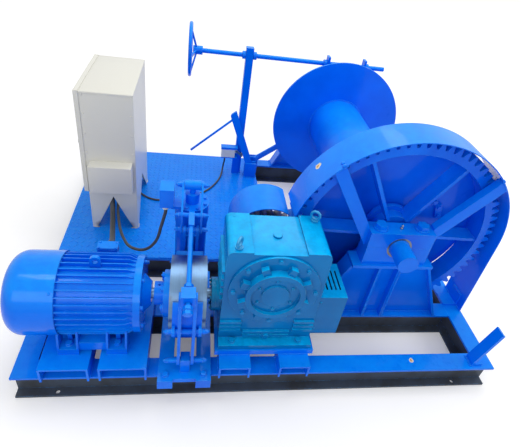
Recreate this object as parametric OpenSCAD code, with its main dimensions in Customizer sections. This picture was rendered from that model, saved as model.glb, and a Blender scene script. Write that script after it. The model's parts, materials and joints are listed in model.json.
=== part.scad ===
// Electric winch: a worm gearbox and an open gear pair drive a rope drum on a welded beam frame.
// X runs along the motor line, Y from front to back, Z up. The origin is the centre of the
// frame's footprint, on the floor.

/* [Base frame] */
// Length of the frame along the motor line
frame_l = 2000; // [1900:10:2300]
// Width of the frame from front to back
frame_w = 1700; // [1650:10:1900]
// Height of the rolled beams
beam_h = 130; // [110:5:160]
// Width of the beam flanges
beam_w = 80; // [70:2:90]
// Thickness of the beam flanges
flange_t = 10; // [8:1:14]
// Thickness of the beam webs
web_t = 8; // [6:1:10]
// Front face of the middle beam, from the front of the frame
middle_y = 294; // [285:1:310]
// Front edge of the deck, from the front of the frame
deck_y = 655; // [640:5:720]
// Distance of the deck from the right edge of the frame
deck_in = 945; // [920:5:970]
// Thickness of the chequer plate
deck_t = 6; // [4:1:8]
// Diameter of the foundation bolt holes
anchor_d = 18; // [14:1:20]
// Distance of the foundation holes from the ends of the frame
anchor_in = 150; // [120:5:220]

/* [Motor] */
// Height of the motor axis over its feet
motor_h = 160; // [158:1:170]
// Distance of the motor line from the front of the frame
motor_line = 200; // [195:1:210]
// Radius over the cooling fins
fin_r = 154; // [150:1:156]
// Radius of the fin roots
motor_r = 138; // [134:1:142]
// Length of the finned housing
motor_l = 262; // [256:2:280]
// Outer radius of the fan cowl
cowl_r = 157; // [155:1:159]
// Length of the fan cowl
cowl_l = 184; // [170:2:200]
// Diameter of the motor shaft
motor_shaft_d = 42; // [36:1:46]
// Number of cooling fins
fin_n = 36; // [24:1:48]

/* [Brake] */
// Radius of the brake drum
brake_r = 150; // [145:1:154]
// Width of the brake drum
brake_w = 136; // [130:1:140]
// Stroke of the thruster rod
thruster_stroke = 11; // [8:1:12]
// Radius of the thruster body
thruster_r = 66; // [60:1:70]

/* [Gearbox] */
// Length of the gearbox body along the motor line
box_l = 378; // [370:2:390]
// Depth of the gearbox body from front to back
box_w = 225; // [220:1:235]
// Module of the worm gear
worm_m = 7; // [6.8:0.1:7.2]
// Number of worm wheel teeth
wheel_z = 30; // [28:1:32]
// Pitch diameter of the worm
worm_d = 64; // [60:1:68]
// Wall of the gearbox casting
box_t = 12; // [10:1:14]

/* [Open gears] */
// Module of the open gears
gear_m = 13; // [12.8:0.1:13.2]
// Number of teeth of the bull gear
gear_z = 70; // [68:1:71]
// Number of teeth of the pinion
pinion_z = 16; // [15:1:17]
// Face width of the bull gear
gear_w = 96; // [90:1:100]
// Radius of the gear guard strip
guard_r = 482; // [480:1:490]

/* [Drum] */
// Drum axis from the right edge of the frame
drum_in = 493; // [490:1:496]
// Height of the drum axis over the beams
drum_h = 436; // [430:1:440]
// Outer radius of the drum barrel
barrel_r = 165; // [150:1:180]
// Radius of the drum flanges
drum_flange_r = 394; // [380:1:396]
// Radius of the wider flange behind the gear wheel
gear_flange_r = 440; // [420:1:440]
// Thickness of the drum flanges
drum_flange_t = 12; // [10:1:16]
// Diameter of the main shaft
shaft_d = 90; // [80:1:96]
// Length of the bare front end of the main shaft
shaft_end_l = 103; // [80:1:120]

/* [Hand brake] */
// Outer radius of the handwheel
handwheel_r = 148; // [130:1:160]
// Radius of the band brake wheel
band_r = 320; // [310:1:324]
// Diameter of the band brake spindle
spindle_d = 26; // [22:1:28]

/* [Control panel] */
// Width of the cabinet along the motor line
panel_w = 231; // [215:1:240]
// Depth of the cabinet from front to back
panel_d = 475; // [450:5:500]
// Height of the cabinet
panel_h = 521; // [480:5:560]
// Height of the cabinet legs
panel_leg_h = 236; // [210:2:260]

/* [Hidden] */

// Smoothness of round faces
$fn = 48;
// Overrun of every cut past the face that it leaves
over = 2;
// Running clearance of a shaft in its hole, on the radius
run = 0.05;
// Gap between curved faces of pieces that do not touch
gap = 0.3;
// Clearance of a bolt in its hole, on the radius
bolt_gap = 0.5;
// Play of a loose pin or rod in its hole, on the radius
play = 2;
// Side gap between a moving plate and its neighbour
side = 1;
// Length by which a shaft reaches into the hub that it drives, or past it
lap = 8;

// Colours as painted
blue = [0.02, 0.27, 0.85];
teal = [0.0, 0.52, 0.78];
black = [0.06, 0.06, 0.07];
grey = [0.8, 0.81, 0.78];
steel = [0.62, 0.63, 0.62];
rubber = [0.16, 0.17, 0.18];

// Frame edges and faces
left_x = -frame_l / 2;
right_x = frame_l / 2;
front_y = -frame_w / 2;
rear_y = frame_w / 2;
deck_x1 = right_x - deck_in;
deck_y0 = front_y + deck_y;
deck_z = beam_h + deck_t;
// Centre of the middle beam and of the bearer under the front of the deck
middle_c = front_y + middle_y + beam_w / 2;
bearer_c = deck_y0 + beam_w / 2 - flange_t / 2;
// Centre of the inner beam under the right edge of the deck
inner_c = deck_x1 - beam_w / 2;
// Offset of a foundation hole from the middle of its beam
anchor_off = (web_t + beam_w) / 4;

// Stands
stand_h = 90;
stand_wall = 8;
stand_overhang = 17;
stand_w = 175;
pad_t = 15;
box_channel_w = 125;
box_plate_t = 25;
box_plate_l = 402;
box_foot_span = 136;
box_foot_reach = 133;

// Axes
axis_y = front_y + motor_line;
line_z = beam_h + stand_h + motor_h;
wheel_axis_z = line_z + (worm_d + worm_m * wheel_z) / 2;
drum_x = right_x - drum_in;
drum_z = beam_h + drum_h;
gear_a = gear_m * (gear_z + pinion_z) / 2;
pinion_x = drum_x - sqrt(pow(gear_a, 2) - pow(drum_z - wheel_axis_z, 2));

// Gearbox faces
box_x0 = pinion_x - box_l / 2;
box_x1 = pinion_x + box_l / 2;
box_y0 = axis_y - motor_line / 2 - flange_t / 2;
box_y1 = box_y0 + box_w;
box_y = (box_y0 + box_y1) / 2;
stand_z = beam_h + stand_h;
box_foot_t = 22;
box_foot_d = 310;
box_head = 183;
box_top = wheel_axis_z + box_head;
box_corner = 26;
pad_drop = 8;
pad_l = 92;
cover_r = 172;
cover_t = 10;
cover_bolt_r = 155;
collar_r = 112;
collar_t = 30;
cap_r = 92;
cap_recess = 14;
hub_cap_r = 52;
out_shaft_r = 32;
out_bearing_r = 70;
bearing_w = 24;
worm_shaft_r = 21;
worm_bearing_r = 45;
worm_cover_r = 66;
worm_cover_t = 16;
worm_l = 150;
wheel_w = 44;

// Gearbox fan cowl on the right
fan_cowl_l = 113;
fan_cowl_w = 190;
fan_cowl_h = 215;
fan_cowl_z = 255;
fan_cowl_t = 3;
fan_cowl_shift = 10;
slot_w = 9;

// Brake places along the motor line
coupling_gap = 57;
brake_x1 = box_x0 - coupling_gap;
brake_x = brake_x1 - brake_w / 2;
brake_x0 = brake_x1 - brake_w;
rim_t = 12;
coupling_l = 71;
coupling_hub_r = 46;
coupling_flange_r = 92;
coupling_flange_t = 24;
motor_face = brake_x0 - coupling_l;

// Brake linkage, as distances from the motor line and heights over the floor
pivot_u = 180;
pivot_rise = 70;
pivot_z = beam_h + pivot_rise;
shoe_pin_rise = 5;
shoe_pin_z = line_z - shoe_pin_rise;
arm_top_u = 165;
arm_top_rise = 425;
arm_top_z = beam_h + arm_top_rise;
lever_pin_rise = 440;
lever_pin_z = beam_h + lever_pin_rise;
rod_u = 175;
rod_rise = 505;
rod_z = beam_h + rod_rise;
thruster_u = 270;
thruster_pin_rise = 585;
thruster_pin_z = beam_h + thruster_pin_rise;
arm_in = 20;
arm_t = 12;
arm_w = 36;
ear_in = 42;
ear_t = 12;
pin_r = 10;
shoe_w = 108;
lining_t = 10;
shoe_t = 9;
shoe_half = 36;
shoe_back_r = brake_r + gap + lining_t + shoe_t;
base_t = 22;
rail_w = 58;
rail_in = 44;
rail_over = 40;
rail_l = 590;
lip_h = 26;
block_half = 18;
block_deep = 42;
trunnion = 50;
tie_r = 9;
tie_slope = atan2(rod_z - arm_top_z, rod_u + arm_top_u + trunnion / 4);

// Thruster
base_pin_rise = 52;
base_pin_z = beam_h + base_pin_rise;
thruster_rise = 82;
thruster_z0 = beam_h + thruster_rise;
thruster_h = 423;
collar_h = 90;
collar_out = 3;

// Open gears
gear_deep = 175;
gear_y0 = axis_y + gear_deep;
gear_y1 = gear_y0 + gear_w;
gear_pitch_r = gear_m * gear_z / 2;
backlash = 1.2;
rim_depth = 31;
spoke_n = 6;
spoke_t = 14;
spoke_in = 8;
hub_in = 30;
spoke_turn = 118;
gear_hub_r = 85;
hub_ring_r = 107;
hub_ring_t = 20;

// Guards
guard_t = 4;
guard_w = 164;
guard_deep = 49;
guard_y0 = gear_y0 - guard_deep;
guard_start = 166;
guard_foot_along = 6;
guard_foot_x = right_x - guard_foot_along;
pinion_guard_r = 146;
stay_w = 50;
stay_t = 8;
stay_deep = 36;

// Drum along its axis
front_flange_deep = 30;
front_flange_y = gear_y1 + front_flange_deep;
rear_flange_deep = 250;
rear_flange_y = rear_y - rear_flange_deep;
barrel_t = 14;
brake_wheel_w = 84;
ratchet_y0 = rear_flange_y + drum_flange_t;
band_t = 5;
band_lining = 8;
ratchet_r = 376;
ratchet_n = 24;
ratchet_depth = 26;
ratchet_w = 20;
wheel_y0 = ratchet_y0 + ratchet_w;
band_y = wheel_y0 + brake_wheel_w / 2;

// Main bearings
block_w = 80;
block_l = 290;
block_base = 91;
cap_h = 76;
seat_t = 15;
seat_l = 370;
front_block_y = middle_c;
rear_block_y = rear_y - beam_w / 2;
bush_t = 9;
rear_end_l = 30;
shaft_step = 2;
cap_bolt_in = 93;
cap_bolt_d = 30;
web_top = 345;
web_foot = 640;
gusset_t = 12;
stiffener_in = 45;

// Band brake and handwheel
spindle_h = 356;
spindle_z = drum_z + spindle_h;
post_in = 130;
post_x = deck_x1 - post_in;
wheel_plane_out = 335;
wheel_plane_x = post_x - wheel_plane_out;
hub_out = 285;
hub_x = post_x - hub_out;
spindle_along = 240;
spindle_x1 = drum_x + spindle_along;
lug_w = 44;
lug_t = 14;
lug_x = 112;
post_w = 44;
post_t = 40;
post_over = 46;

// Pawl lever, bracket and limit switch
pawl_out = 499;
pawl_x = drum_x - pawl_out;
pawl_y = ratchet_y0 + ratchet_w / 2 + side;
pawl_rise = 66;
pawl_z = deck_z + pawl_rise;
pawl_l = 412;
pawl_w = 44;
pawl_t = 16;
pawl_lean = 21;
handle_l = 338;
handle_r = 7;
handle_drop = 22;
bracket_w = 74;
bracket_t = 10;
switch_out = 147;
switch_x = pawl_x - switch_out;
switch_y = pawl_y;
switch_rise = 178;
switch_z = beam_h + switch_rise;
switch_l = 101;
switch_w = 44;
switch_h = 56;

// Cabinet
panel_along = 126;
panel_x = left_x + panel_along;
panel_deep = 882;
panel_y = front_y + panel_deep;
panel_z = deck_z + panel_leg_h;
sheet_t = 2;
door_t = 20;
junction_w = 196;
junction_h = 144;
junction_d = 60;

// A bar of I section along X, standing on z = 0
module i_beam(length) {
    w = beam_w / 2;
    s = web_t / 2;
    rotate([90, 0, 90]) translate([0, 0, -length / 2]) linear_extrude(length) polygon([
        [-w, 0], [w, 0], [w, flange_t], [s, flange_t], [s, beam_h - flange_t],
        [w, beam_h - flange_t], [w, beam_h], [-w, beam_h], [-w, beam_h - flange_t],
        [-s, beam_h - flange_t], [-s, flange_t], [-w, flange_t]]);
}

// A channel with its legs down, along Y, standing on z = 0
module channel(width, height, wall, y0, y1) {
    difference() {
        translate([-width / 2, y0, 0]) cube([width, y1 - y0, height]);
        translate([wall - width / 2, y0 - over, -over])
            cube([width - 2 * wall, y1 - y0 + 2 * over, height - wall + over]);
    }
}

// Round bars along X and along Y from a start point
module rod_x(p, r, length) {
    translate(p) rotate([0, 90, 0]) cylinder(r = r, h = length);
}
module rod_y(p, r, length) {
    translate(p) rotate([-90, 0, 0]) cylinder(r = r, h = length);
}
module ring_x(p, r_out, r_in, length) {
    difference() {
        rod_x(p, r_out, length);
        rod_x([p[0] - over, p[1], p[2]], r_in, length + 2 * over);
    }
}
module ring_y(p, r_out, r_in, length) {
    difference() {
        rod_y(p, r_out, length);
        rod_y([p[0], p[1] - over, p[2]], r_in, length + 2 * over);
    }
}

// A flat outline in the X-Z plane, and one in the Y-Z plane, given their thickness
module plate_xz(y0, t) {
    translate([0, y0 + t, 0]) rotate([90, 0, 0]) linear_extrude(t) children();
}
module plate_yz(x0, t) {
    translate([x0, 0, 0]) rotate([90, 0, 90]) linear_extrude(t) children();
}

// A strap with round ends between two points
module strap(a, b, w) {
    d = b - a;
    n = [-d[1], d[0]] / norm(d) * w / 2;
    polygon([a + n, b + n, b - n, a - n]);
    translate(a) circle(r = w / 2);
    translate(b) circle(r = w / 2);
}

// A hexagon bolt with a washer, its head up at z = 0 and its shank down
module hex_bolt(d, grip) {
    cylinder(r = d * 1.05, h = d * 0.16);
    cylinder(r = d * 0.9, h = d * 0.8, $fn = 6);
    translate([0, 0, -grip]) cylinder(r = d / 2, h = grip + d * 0.1);
}

// Outer frame: four beams, the front and rear ones over the full length, and the corner hook
module outer_frame() {
    color(blue) corner_hook();
    color(blue) difference() {
        union() {
            for (y = [front_y + beam_w / 2, rear_y - beam_w / 2]) translate([0, y, 0]) i_beam(frame_l);
            for (x = [left_x + beam_w / 2, right_x - beam_w / 2])
                translate([x, 0, 0]) rotate([0, 0, 90]) i_beam(frame_w - 2 * beam_w);
        }
        for (sx = [-1, 1], sy = [-1, 1])
            translate([sx * (right_x - anchor_in), sy * (rear_y - beam_w / 2 + anchor_off), -over])
                cylinder(r = anchor_d / 2, h = flange_t + 2 * over);
    }
}

// Middle beam, inner beam and the bearer under the front of the deck
module cross_members() {
    inner_y0 = middle_c + beam_w / 2;
    inner_y1 = rear_y - beam_w;
    color(blue) {
        translate([0, middle_c, 0]) i_beam(frame_l - 2 * beam_w);
        translate([inner_c, (inner_y0 + inner_y1) / 2, 0]) rotate([0, 0, 90])
            i_beam(inner_y1 - inner_y0);
        translate([(left_x + inner_c + beam_w / 2) / 2, bearer_c, 0])
            i_beam(inner_c - left_x - 1.5 * beam_w);
    }
}

module deck_plate() {
    color(blue) translate([left_x, deck_y0, beam_h]) cube([deck_x1 - left_x, rear_y - deck_y0, deck_t]);
}

// Bent flat hook on the front right corner
hook_w = 50;
hook_t = 12;
hook_x = 106;
hook_rise = 205;
hook_reach = 55;
module corner_hook() {
    x0 = right_x - hook_x;
    y0 = front_y + beam_w / 2 - hook_w / 2;
    plate_xz(y0, hook_w) polygon([[x0, beam_h], [x0 + hook_w, beam_h],
        [x0 + hook_w, beam_h + hook_t], [x0 + hook_t, beam_h + hook_t],
        [x0 + hook_reach + hook_t, beam_h + hook_rise],
            [x0 + hook_reach, beam_h + hook_rise + hook_t / 2],
        [x0, beam_h + hook_t + hook_t / 2]]);
}

// Motor stand: two inverted channels with a pad under each motor foot
shield_t = 26;
boss_l = 30;
motor_x1 = motor_face - boss_l - shield_t;
motor_x0 = motor_x1 - motor_l - shield_t;
foot_span = 127;
foot_bolt_w = 87;
foot_c_off = 148;
foot_c = motor_x1 - foot_c_off;
stand_pitch = 209;
stand_c_off = 139;
stand_c = motor_x1 - stand_c_off;
foot_bolt_d = 14;
stand_y0 = front_y - stand_overhang;
stand_y1 = middle_c + beam_w / 2;
module foot_places() {
    for (sx = [-1, 1], sy = [-1, 1])
        translate([foot_c + sx * foot_bolt_w, axis_y + sy * foot_span, stand_z]) children();
}
module motor_stand() {
    color(blue) difference() {
        for (sx = [-1, 1]) {
            translate([stand_c + sx * stand_pitch / 2, 0, beam_h])
                channel(stand_w, stand_h - pad_t, stand_wall, stand_y0, stand_y1);
            for (sy = [-1, 1])
                translate([foot_c + sx * foot_bolt_w - foot_l / 2, axis_y + sy * foot_span - foot_w / 2,
                    stand_z - pad_t]) cube([foot_l, foot_w, pad_t]);
        }
        foot_places() translate([0, 0, -pad_t - stand_wall - over])
            cylinder(r = foot_bolt_d / 2 + bolt_gap, h = pad_t + stand_wall + 2 * over);
    }
}

// Gearbox stand: two channels and a thick base plate
module box_foot_places() {
    for (sx = [-1, 1], sy = [-1, 1])
        translate([pinion_x + sx * box_foot_span, box_y + sy * box_foot_reach, stand_z]) children();
}
module gearbox_stand() {
    color(blue) difference() {
        union() {
            for (sx = [-1, 1]) translate([pinion_x + sx * (box_plate_l - box_channel_w) / 2.3, 0,
                beam_h])
                channel(box_channel_w, stand_h - box_plate_t, stand_wall, stand_y0, stand_y1);
            translate([pinion_x - box_plate_l / 2, axis_y - box_foot_d / 2, stand_z - box_plate_t])
                cube([box_plate_l, box_foot_d, box_plate_t]);
        }
        box_foot_places() translate([0, 0, -box_plate_t - stand_wall - over])
            cylinder(r = foot_bolt_d / 2 + bolt_gap, h = box_plate_t + stand_wall + 2 * over);
    }
}

// A welded bearing pedestal: a web with slanted ends, inner stiffeners, end plates and a seat
module pedestal(y) {
    z0 = beam_h;
    z1 = drum_z - block_base - seat_t;
    half0 = web_foot / 2;
    half1 = web_top / 2;
    translate([drum_x, y, 0]) {
        plate_xz(-gusset_t / 2, gusset_t)
            polygon([[-half0, z0], [half0, z0], [half1, z1], [-half1, z1]]);
        for (s = [-1, 1]) {
            plate_xz(-block_w / 2, block_w) polygon([[s * half0, z0], [s * (half0 + gusset_t), z0],
                [s * (half1 + gusset_t), z1], [s * half1, z1]]);
            translate([s * stiffener_in - gusset_t / 2, -block_w / 2, z0])
                cube([gusset_t, block_w, z1 - z0]);
        }
        difference() {
            translate([-seat_l / 2, -block_w / 2 - seat_t, z1])
                cube([seat_l, block_w + seat_t, seat_t]);
            for (s = [-1, 1]) translate([s * cap_bolt_in, 0, z1 - over])
                cylinder(r = cap_bolt_d / 2 + bolt_gap, h = seat_t + 2 * over);
        }
    }
}
module front_pedestal() {
    color(blue) pedestal(front_block_y);
}
module rear_pedestal() {
    color(blue) translate([0, 2 * rear_block_y, 0]) mirror([0, 1, 0]) pedestal(rear_block_y);
}

// Motor housing: a finned tube with two pairs of feet and a lifting lug
foot_l = 76;
foot_w = 52;
foot_t = 16;
stator_r = 112;
module fin_section() {
    difference() {
        union() {
            circle(r = motor_r);
            for (i = [0 : fin_n - 1]) {
                a = i * 360 / fin_n;
                if (abs(sin(a) * motor_r + motor_h) > foot_w || abs(cos(a)) > 0.75)
                    rotate(a) translate([motor_r - web_t, -web_t / 4])
                        square([fin_r - motor_r + web_t, web_t / 2]);
            }
        }
        circle(r = stator_r);
    }
}
module motor_foot(sx, sy) {
    translate([foot_c + sx * foot_bolt_w - foot_l / 2, axis_y, stand_z]) scale([1, sy, 1]) {
        difference() {
            union() {
                translate([0, foot_span - foot_w / 2, 0]) cube([foot_l, foot_w, foot_t]);
                translate([foot_l / 2 - foot_t / 2, 0, 0]) rotate([90, 0, 90]) linear_extrude(foot_t)
                    polygon([[foot_span - foot_w / 2, 0], [foot_span + foot_w / 4, foot_t],
                        [motor_r * 0.92, motor_h * 0.72], [motor_r * 0.62, motor_h * 0.42],
                        [foot_span - foot_w, foot_t]]);
                for (x = [0, foot_l - foot_t / 2]) translate([x, 0, 0]) rotate([90, 0, 90])
                    linear_extrude(foot_t / 2) polygon([[foot_span - foot_w / 2, foot_t / 2],
                        [foot_span + foot_w / 2, foot_t], [motor_r * 0.94, motor_h * 0.72],
                        [motor_r * 0.62, motor_h * 0.42]]);
            }
            translate([foot_l / 2, 0, motor_h]) rotate([0, 90, 0])
                cylinder(r = motor_r - web_t / 2, h = foot_l + 2 * over, center = true);
            translate([foot_l / 2, foot_span, -over])
                cylinder(r = foot_bolt_d / 2 + bolt_gap, h = foot_t + 2 * over);
            translate([foot_l / 2, foot_span, foot_t]) cylinder(r = foot_bolt_d * 1.3, h = motor_h / 2);
        }
    }
}
term_l = 76;
term_d = 46;
term_h = 84;
term_back = 133;
term_x = motor_x1 - term_back;
term_rise = 1;
term_z = line_z - term_rise;
fin_slope_l = 30;
foot_bridge_h = 42;
module fin_envelope() {
    rotate([0, 90, 0]) rotate_extrude() polygon([[0, -over], [fin_r + over, -over],
        [fin_r + over, motor_l - fin_slope_l], [motor_r + over, motor_l], [0, motor_l]]);
}
module foot_bridge(sy) {
    x0 = foot_c - foot_bolt_w + foot_l / 2 - over;
    y0 = sy > 0 ? foot_span - foot_w / 2 : -foot_span - foot_w * 0.3;
    translate([x0, axis_y + y0, stand_z])
        cube([2 * (foot_c - x0), foot_w * 0.8, foot_bridge_h]);
}
module motor_housing() {
    color(blue) {
        translate([motor_x1 - motor_l, axis_y, line_z]) intersection() {
            rotate([90, 0, 90]) linear_extrude(motor_l) fin_section();
            fin_envelope();
        }
        for (sy = [-1, 1]) foot_bridge(sy);
        difference() {
            translate([term_x - term_l / 2, axis_y + stator_r + bearing_w, term_z])
                cube([term_l, fin_r - stator_r - bearing_w, term_h * 0.6]);
            rod_x([motor_x0, axis_y, line_z], motor_r - over, 2 * motor_l);
        }
        lifting_lug();
        difference() {
            for (sx = [-1, 1], sy = [-1, 1]) motor_foot(sx, sy);
            rod_x([motor_x0 - over, axis_y, line_z], cowl_r + gap, shield_t + over);
        }
    }
}

// Lifting lug on top of the motor, with its eye across the shaft
lug_r = 20;
lug_plate_t = 14;
lug_rise = 14;
module lifting_lug() {
    z0 = motor_r - over;
    z1 = fin_r + lug_rise;
    translate([motor_x1 - motor_l * 0.54, axis_y, line_z]) plate_xz(-lug_plate_t / 2, lug_plate_t)
        difference() {
        union() {
            translate([0, z1]) circle(r = lug_r);
            translate([-lug_r, z0]) square([2 * lug_r, z1 - z0]);
        }
        translate([0, z1]) circle(r = lug_r / 2);
    }
}

// Motor end shields: a plate with a domed boss in front, a plate with a short boss behind
shield_step = 6;
boss_r = 78;
module shield(x0, s, length, r_top) {
    difference() {
        union() {
            rod_x([x0, axis_y, line_z], fin_r - shield_step, shield_t);
            translate([s > 0 ? x0 + shield_t - over : x0 + over, axis_y, line_z]) rotate([0, s * 90, 0])
                cylinder(r1 = boss_r, r2 = r_top, h = length + over);
        }
        rod_x([s > 0 ? x0 - over : x0, axis_y, line_z], worm_bearing_r, shield_t);
        rod_x([x0 - 2 * boss_l, axis_y, line_z], motor_shaft_d / 2 + gap, shield_t + 4 * boss_l);
    }
}
module motor_end_shields() {
    color(blue) {
        shield(motor_x1, 1, boss_l, coupling_hub_r);
        shield(motor_x0, -1, shield_step, boss_r);
    }
}

// Fan cowl: a pressed cover with a rounded rear edge and radial slots
cowl_t = 3;
cowl_round = 60;
module motor_fan_cowl() {
    x1 = motor_x0 + shield_t;
    color(blue) difference() {
        translate([x1 - cowl_l, axis_y, line_z]) rotate([0, 90, 0]) rotate_extrude() union() {
            translate([cowl_r - cowl_t, cowl_round]) square([cowl_t, cowl_l - cowl_round]);
            square([cowl_r - cowl_round, cowl_t]);
            translate([cowl_r - cowl_round, cowl_round]) difference() {
                circle(r = cowl_round);
                circle(r = cowl_round - cowl_t);
                translate([-2 * cowl_round, -2 * cowl_round]) square([2 * cowl_round, 4 * cowl_round]);
                translate([-over, 0]) square([2 * cowl_round, 2 * cowl_round]);
            }
        }
        for (i = [0 : 11]) translate([x1 - cowl_l - over, axis_y, line_z]) rotate([i * 30, 0, 0])
            translate([0, cowl_r * 0.28, -slot_w / 2]) cube([cowl_t + 2 * over, cowl_r * 0.42, slot_w]);
    }
}

// Terminal box on the back of the motor
module motor_terminal_box() {
    lid_t = 3 * sheet_t;
    color(blue) translate([term_x - term_l / 2, axis_y + fin_r, term_z]) {
        difference() {
            cube([term_l, term_d, term_h - lid_t]);
            translate([2 * sheet_t, 2 * sheet_t, 2 * sheet_t])
                cube([term_l - 4 * sheet_t, term_d - 4 * sheet_t, term_h - lid_t - 4 * sheet_t]);
        }
        translate([-sheet_t, sheet_t, term_h - lid_t]) cube([term_l + 2 * sheet_t, term_d, lid_t]);
    }
}

// Stator pack and its winding heads
pack_share = 0.7;
pack_x0 = motor_x1 - motor_l * (1 + pack_share) / 2;
module motor_stator() {
    color(steel) ring_x([pack_x0, axis_y, line_z], stator_r - run, rotor_r + air_gap,
        motor_l * pack_share);
}

// Rotor and motor shaft
rotor_r = 70;
air_gap = 1;
rotor_tail = 64;
module motor_rotor() {
    tail = motor_x0 - rotor_tail;
    color(steel) {
        rod_x([pack_x0, axis_y, line_z], rotor_r, motor_l * pack_share);
        rod_x([tail, axis_y, line_z], motor_shaft_d / 2, brake_x0 + lap - tail);
    }
}

// Cooling fans of the motor and of the gearbox
blade_n = 7;
fan_hub_r = 38;
module fan(x0, r, w) {
    difference() {
        union() {
            rod_x([x0, axis_y, line_z], fan_hub_r, w);
            rod_x([x0, axis_y, line_z], r, fan_t);
            for (i = [0 : blade_n - 1]) translate([x0, axis_y, line_z])
                rotate([i * 360 / blade_n, 0, 0])
                translate([fan_t / 2, fan_hub_r - fan_t, -fan_t / 2])
                    cube([w - fan_t, r - fan_hub_r, fan_t]);
        }
        rod_x([x0 - over, axis_y, line_z], motor_shaft_d / 2, w + 2 * over);
    }
}
fan_t = 4;
fan_w = 38;
fan_r = 128;
box_fan_r = 84;
box_fan_x = box_x1 + worm_cover_t + box_t;
module cooling_fans() {
    color(black) {
        fan(motor_x0 - rotor_tail + fan_t, fan_r, fan_w);
        fan(box_fan_x, box_fan_r, fan_w);
    }
}

// Bearing rings of the motor, the gearbox and the main shaft
module rolling_bearings() {
    r = motor_shaft_d / 2 + run;
    color(steel) {
        for (x = [motor_x0, motor_x1]) ring_x([x, axis_y, line_z], worm_bearing_r - run, r, bearing_w);
        for (x = [box_x0, box_x1 - bearing_w])
            ring_x([x, axis_y, line_z], worm_bearing_r - run, r, bearing_w);
        for (y = [box_y0 + box_t, box_y1 - box_t - bearing_w])
            ring_y([pinion_x, y, wheel_axis_z], out_bearing_r - run, out_shaft_r + run, bearing_w);
        for (y = [front_block_y, rear_block_y])
            ring_y([drum_x, y - block_w / 2, drum_z], shaft_d / 2 + bush_t, shaft_d / 2 + run, block_w);
    }
}

// Motor half of the coupling, with its pins
pin_n = 6;
pin_circle = 72;
coupling_pin_r = 8;
key_r = 5;
hub_step = 10;
module pin_places() {
    for (i = [0 : pin_n - 1]) rotate([i * 360 / pin_n, 0, 0]) translate([0, pin_circle, 0]) children();
}
module coupling_half() {
    x0 = motor_face + hub_step;
    xf = brake_x0 - coupling_flange_t;
    color(blue) {
        difference() {
            union() {
                rod_x([x0, axis_y, line_z], coupling_hub_r, brake_x0 - x0);
                rod_x([xf, axis_y, line_z], coupling_flange_r, coupling_flange_t);
            }
            rod_x([x0 - over, axis_y, line_z], motor_shaft_d / 2, brake_x0 - x0 + 2 * over);
            translate([(x0 + xf) / 2, axis_y, line_z]) cylinder(r = key_r, h = 2 * coupling_hub_r);
            translate([xf - over, axis_y, line_z]) pin_places()
                rotate([0, 90, 0]) cylinder(r = coupling_pin_r, h = coupling_flange_t + 2 * over);
        }
    }
    color(steel) translate([xf - flange_t, axis_y, line_z]) pin_places() {
        rotate([0, 90, 0]) cylinder(r = coupling_pin_r, h = flange_t + coupling_flange_t + rim_t);
        rotate([0, 90, 0]) cylinder(r = coupling_pin_r * 1.6, h = flange_t, $fn = 6);
    }
}

// Brake drum with its hub, on the worm shaft
module brake_drum() {
    color(steel) {
        ring_x([brake_x0, axis_y, line_z], brake_r, brake_r - rim_t, brake_w);
        difference() {
            union() {
                rod_x([brake_x0, axis_y, line_z], brake_r - rim_t / 2, rim_t);
                rod_x([brake_x0, axis_y, line_z], coupling_hub_r, brake_w - rim_t);
            }
            rod_x([brake_x0 - over, axis_y, line_z], worm_shaft_r, brake_w + 2 * over);
            translate([brake_x0 - over, axis_y, line_z]) pin_places()
                rotate([0, 90, 0]) cylinder(r = coupling_pin_r, h = rim_t + 2 * over);
        }
    }
}

// Brake base: two rails over the beams, cross plates, arm pivot blocks and the thruster bracket
cheek_t = 12;
lug_half = 20;
module brake_base() {
    y0 = front_y - rail_over;
    yt = axis_y + thruster_u;
    color(blue) {
        translate([brake_x - rail_in, yt - trunnion, beam_h]) cube([2 * rail_in, 2 * trunnion, base_t]);
        for (x = [lug_half + side, -lug_half - side - cheek_t]) plate_yz(brake_x + x, cheek_t)
            difference() {
            union() {
                translate([yt, base_pin_z]) circle(r = arm_w / 2);
                translate([yt - arm_w / 2, beam_h + base_t])
                    square([arm_w, base_pin_z - beam_h - base_t]);
            }
            translate([yt, base_pin_z]) circle(r = pin_r + run);
        }
        for (s = [-1, 1]) translate([brake_x + s * (rail_in + rail_w / 2) - rail_w / 2, y0, beam_h]) {
            cube([rail_w, rail_l, base_t]);
            translate([0, 0, -lip_h]) cube([rail_w, rail_over - web_t * 2, lip_h + web_t]);
        }
        for (s = [-1, 1]) difference() {
            union() {
                translate([brake_x - rail_in, axis_y + s * pivot_u - trunnion, beam_h])
                    cube([2 * rail_in, 2 * trunnion, base_t]);
                translate([brake_x - block_half, axis_y + s * pivot_u - block_deep / 2, beam_h])
                    cube([2 * block_half, block_deep, pivot_z - beam_h + trunnion / 2]);
            }
            rod_x([brake_x - block_half - over, axis_y + s * pivot_u, pivot_z], pin_r + run,
                2 * block_half + 2 * over);
        }
    }
}

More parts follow.
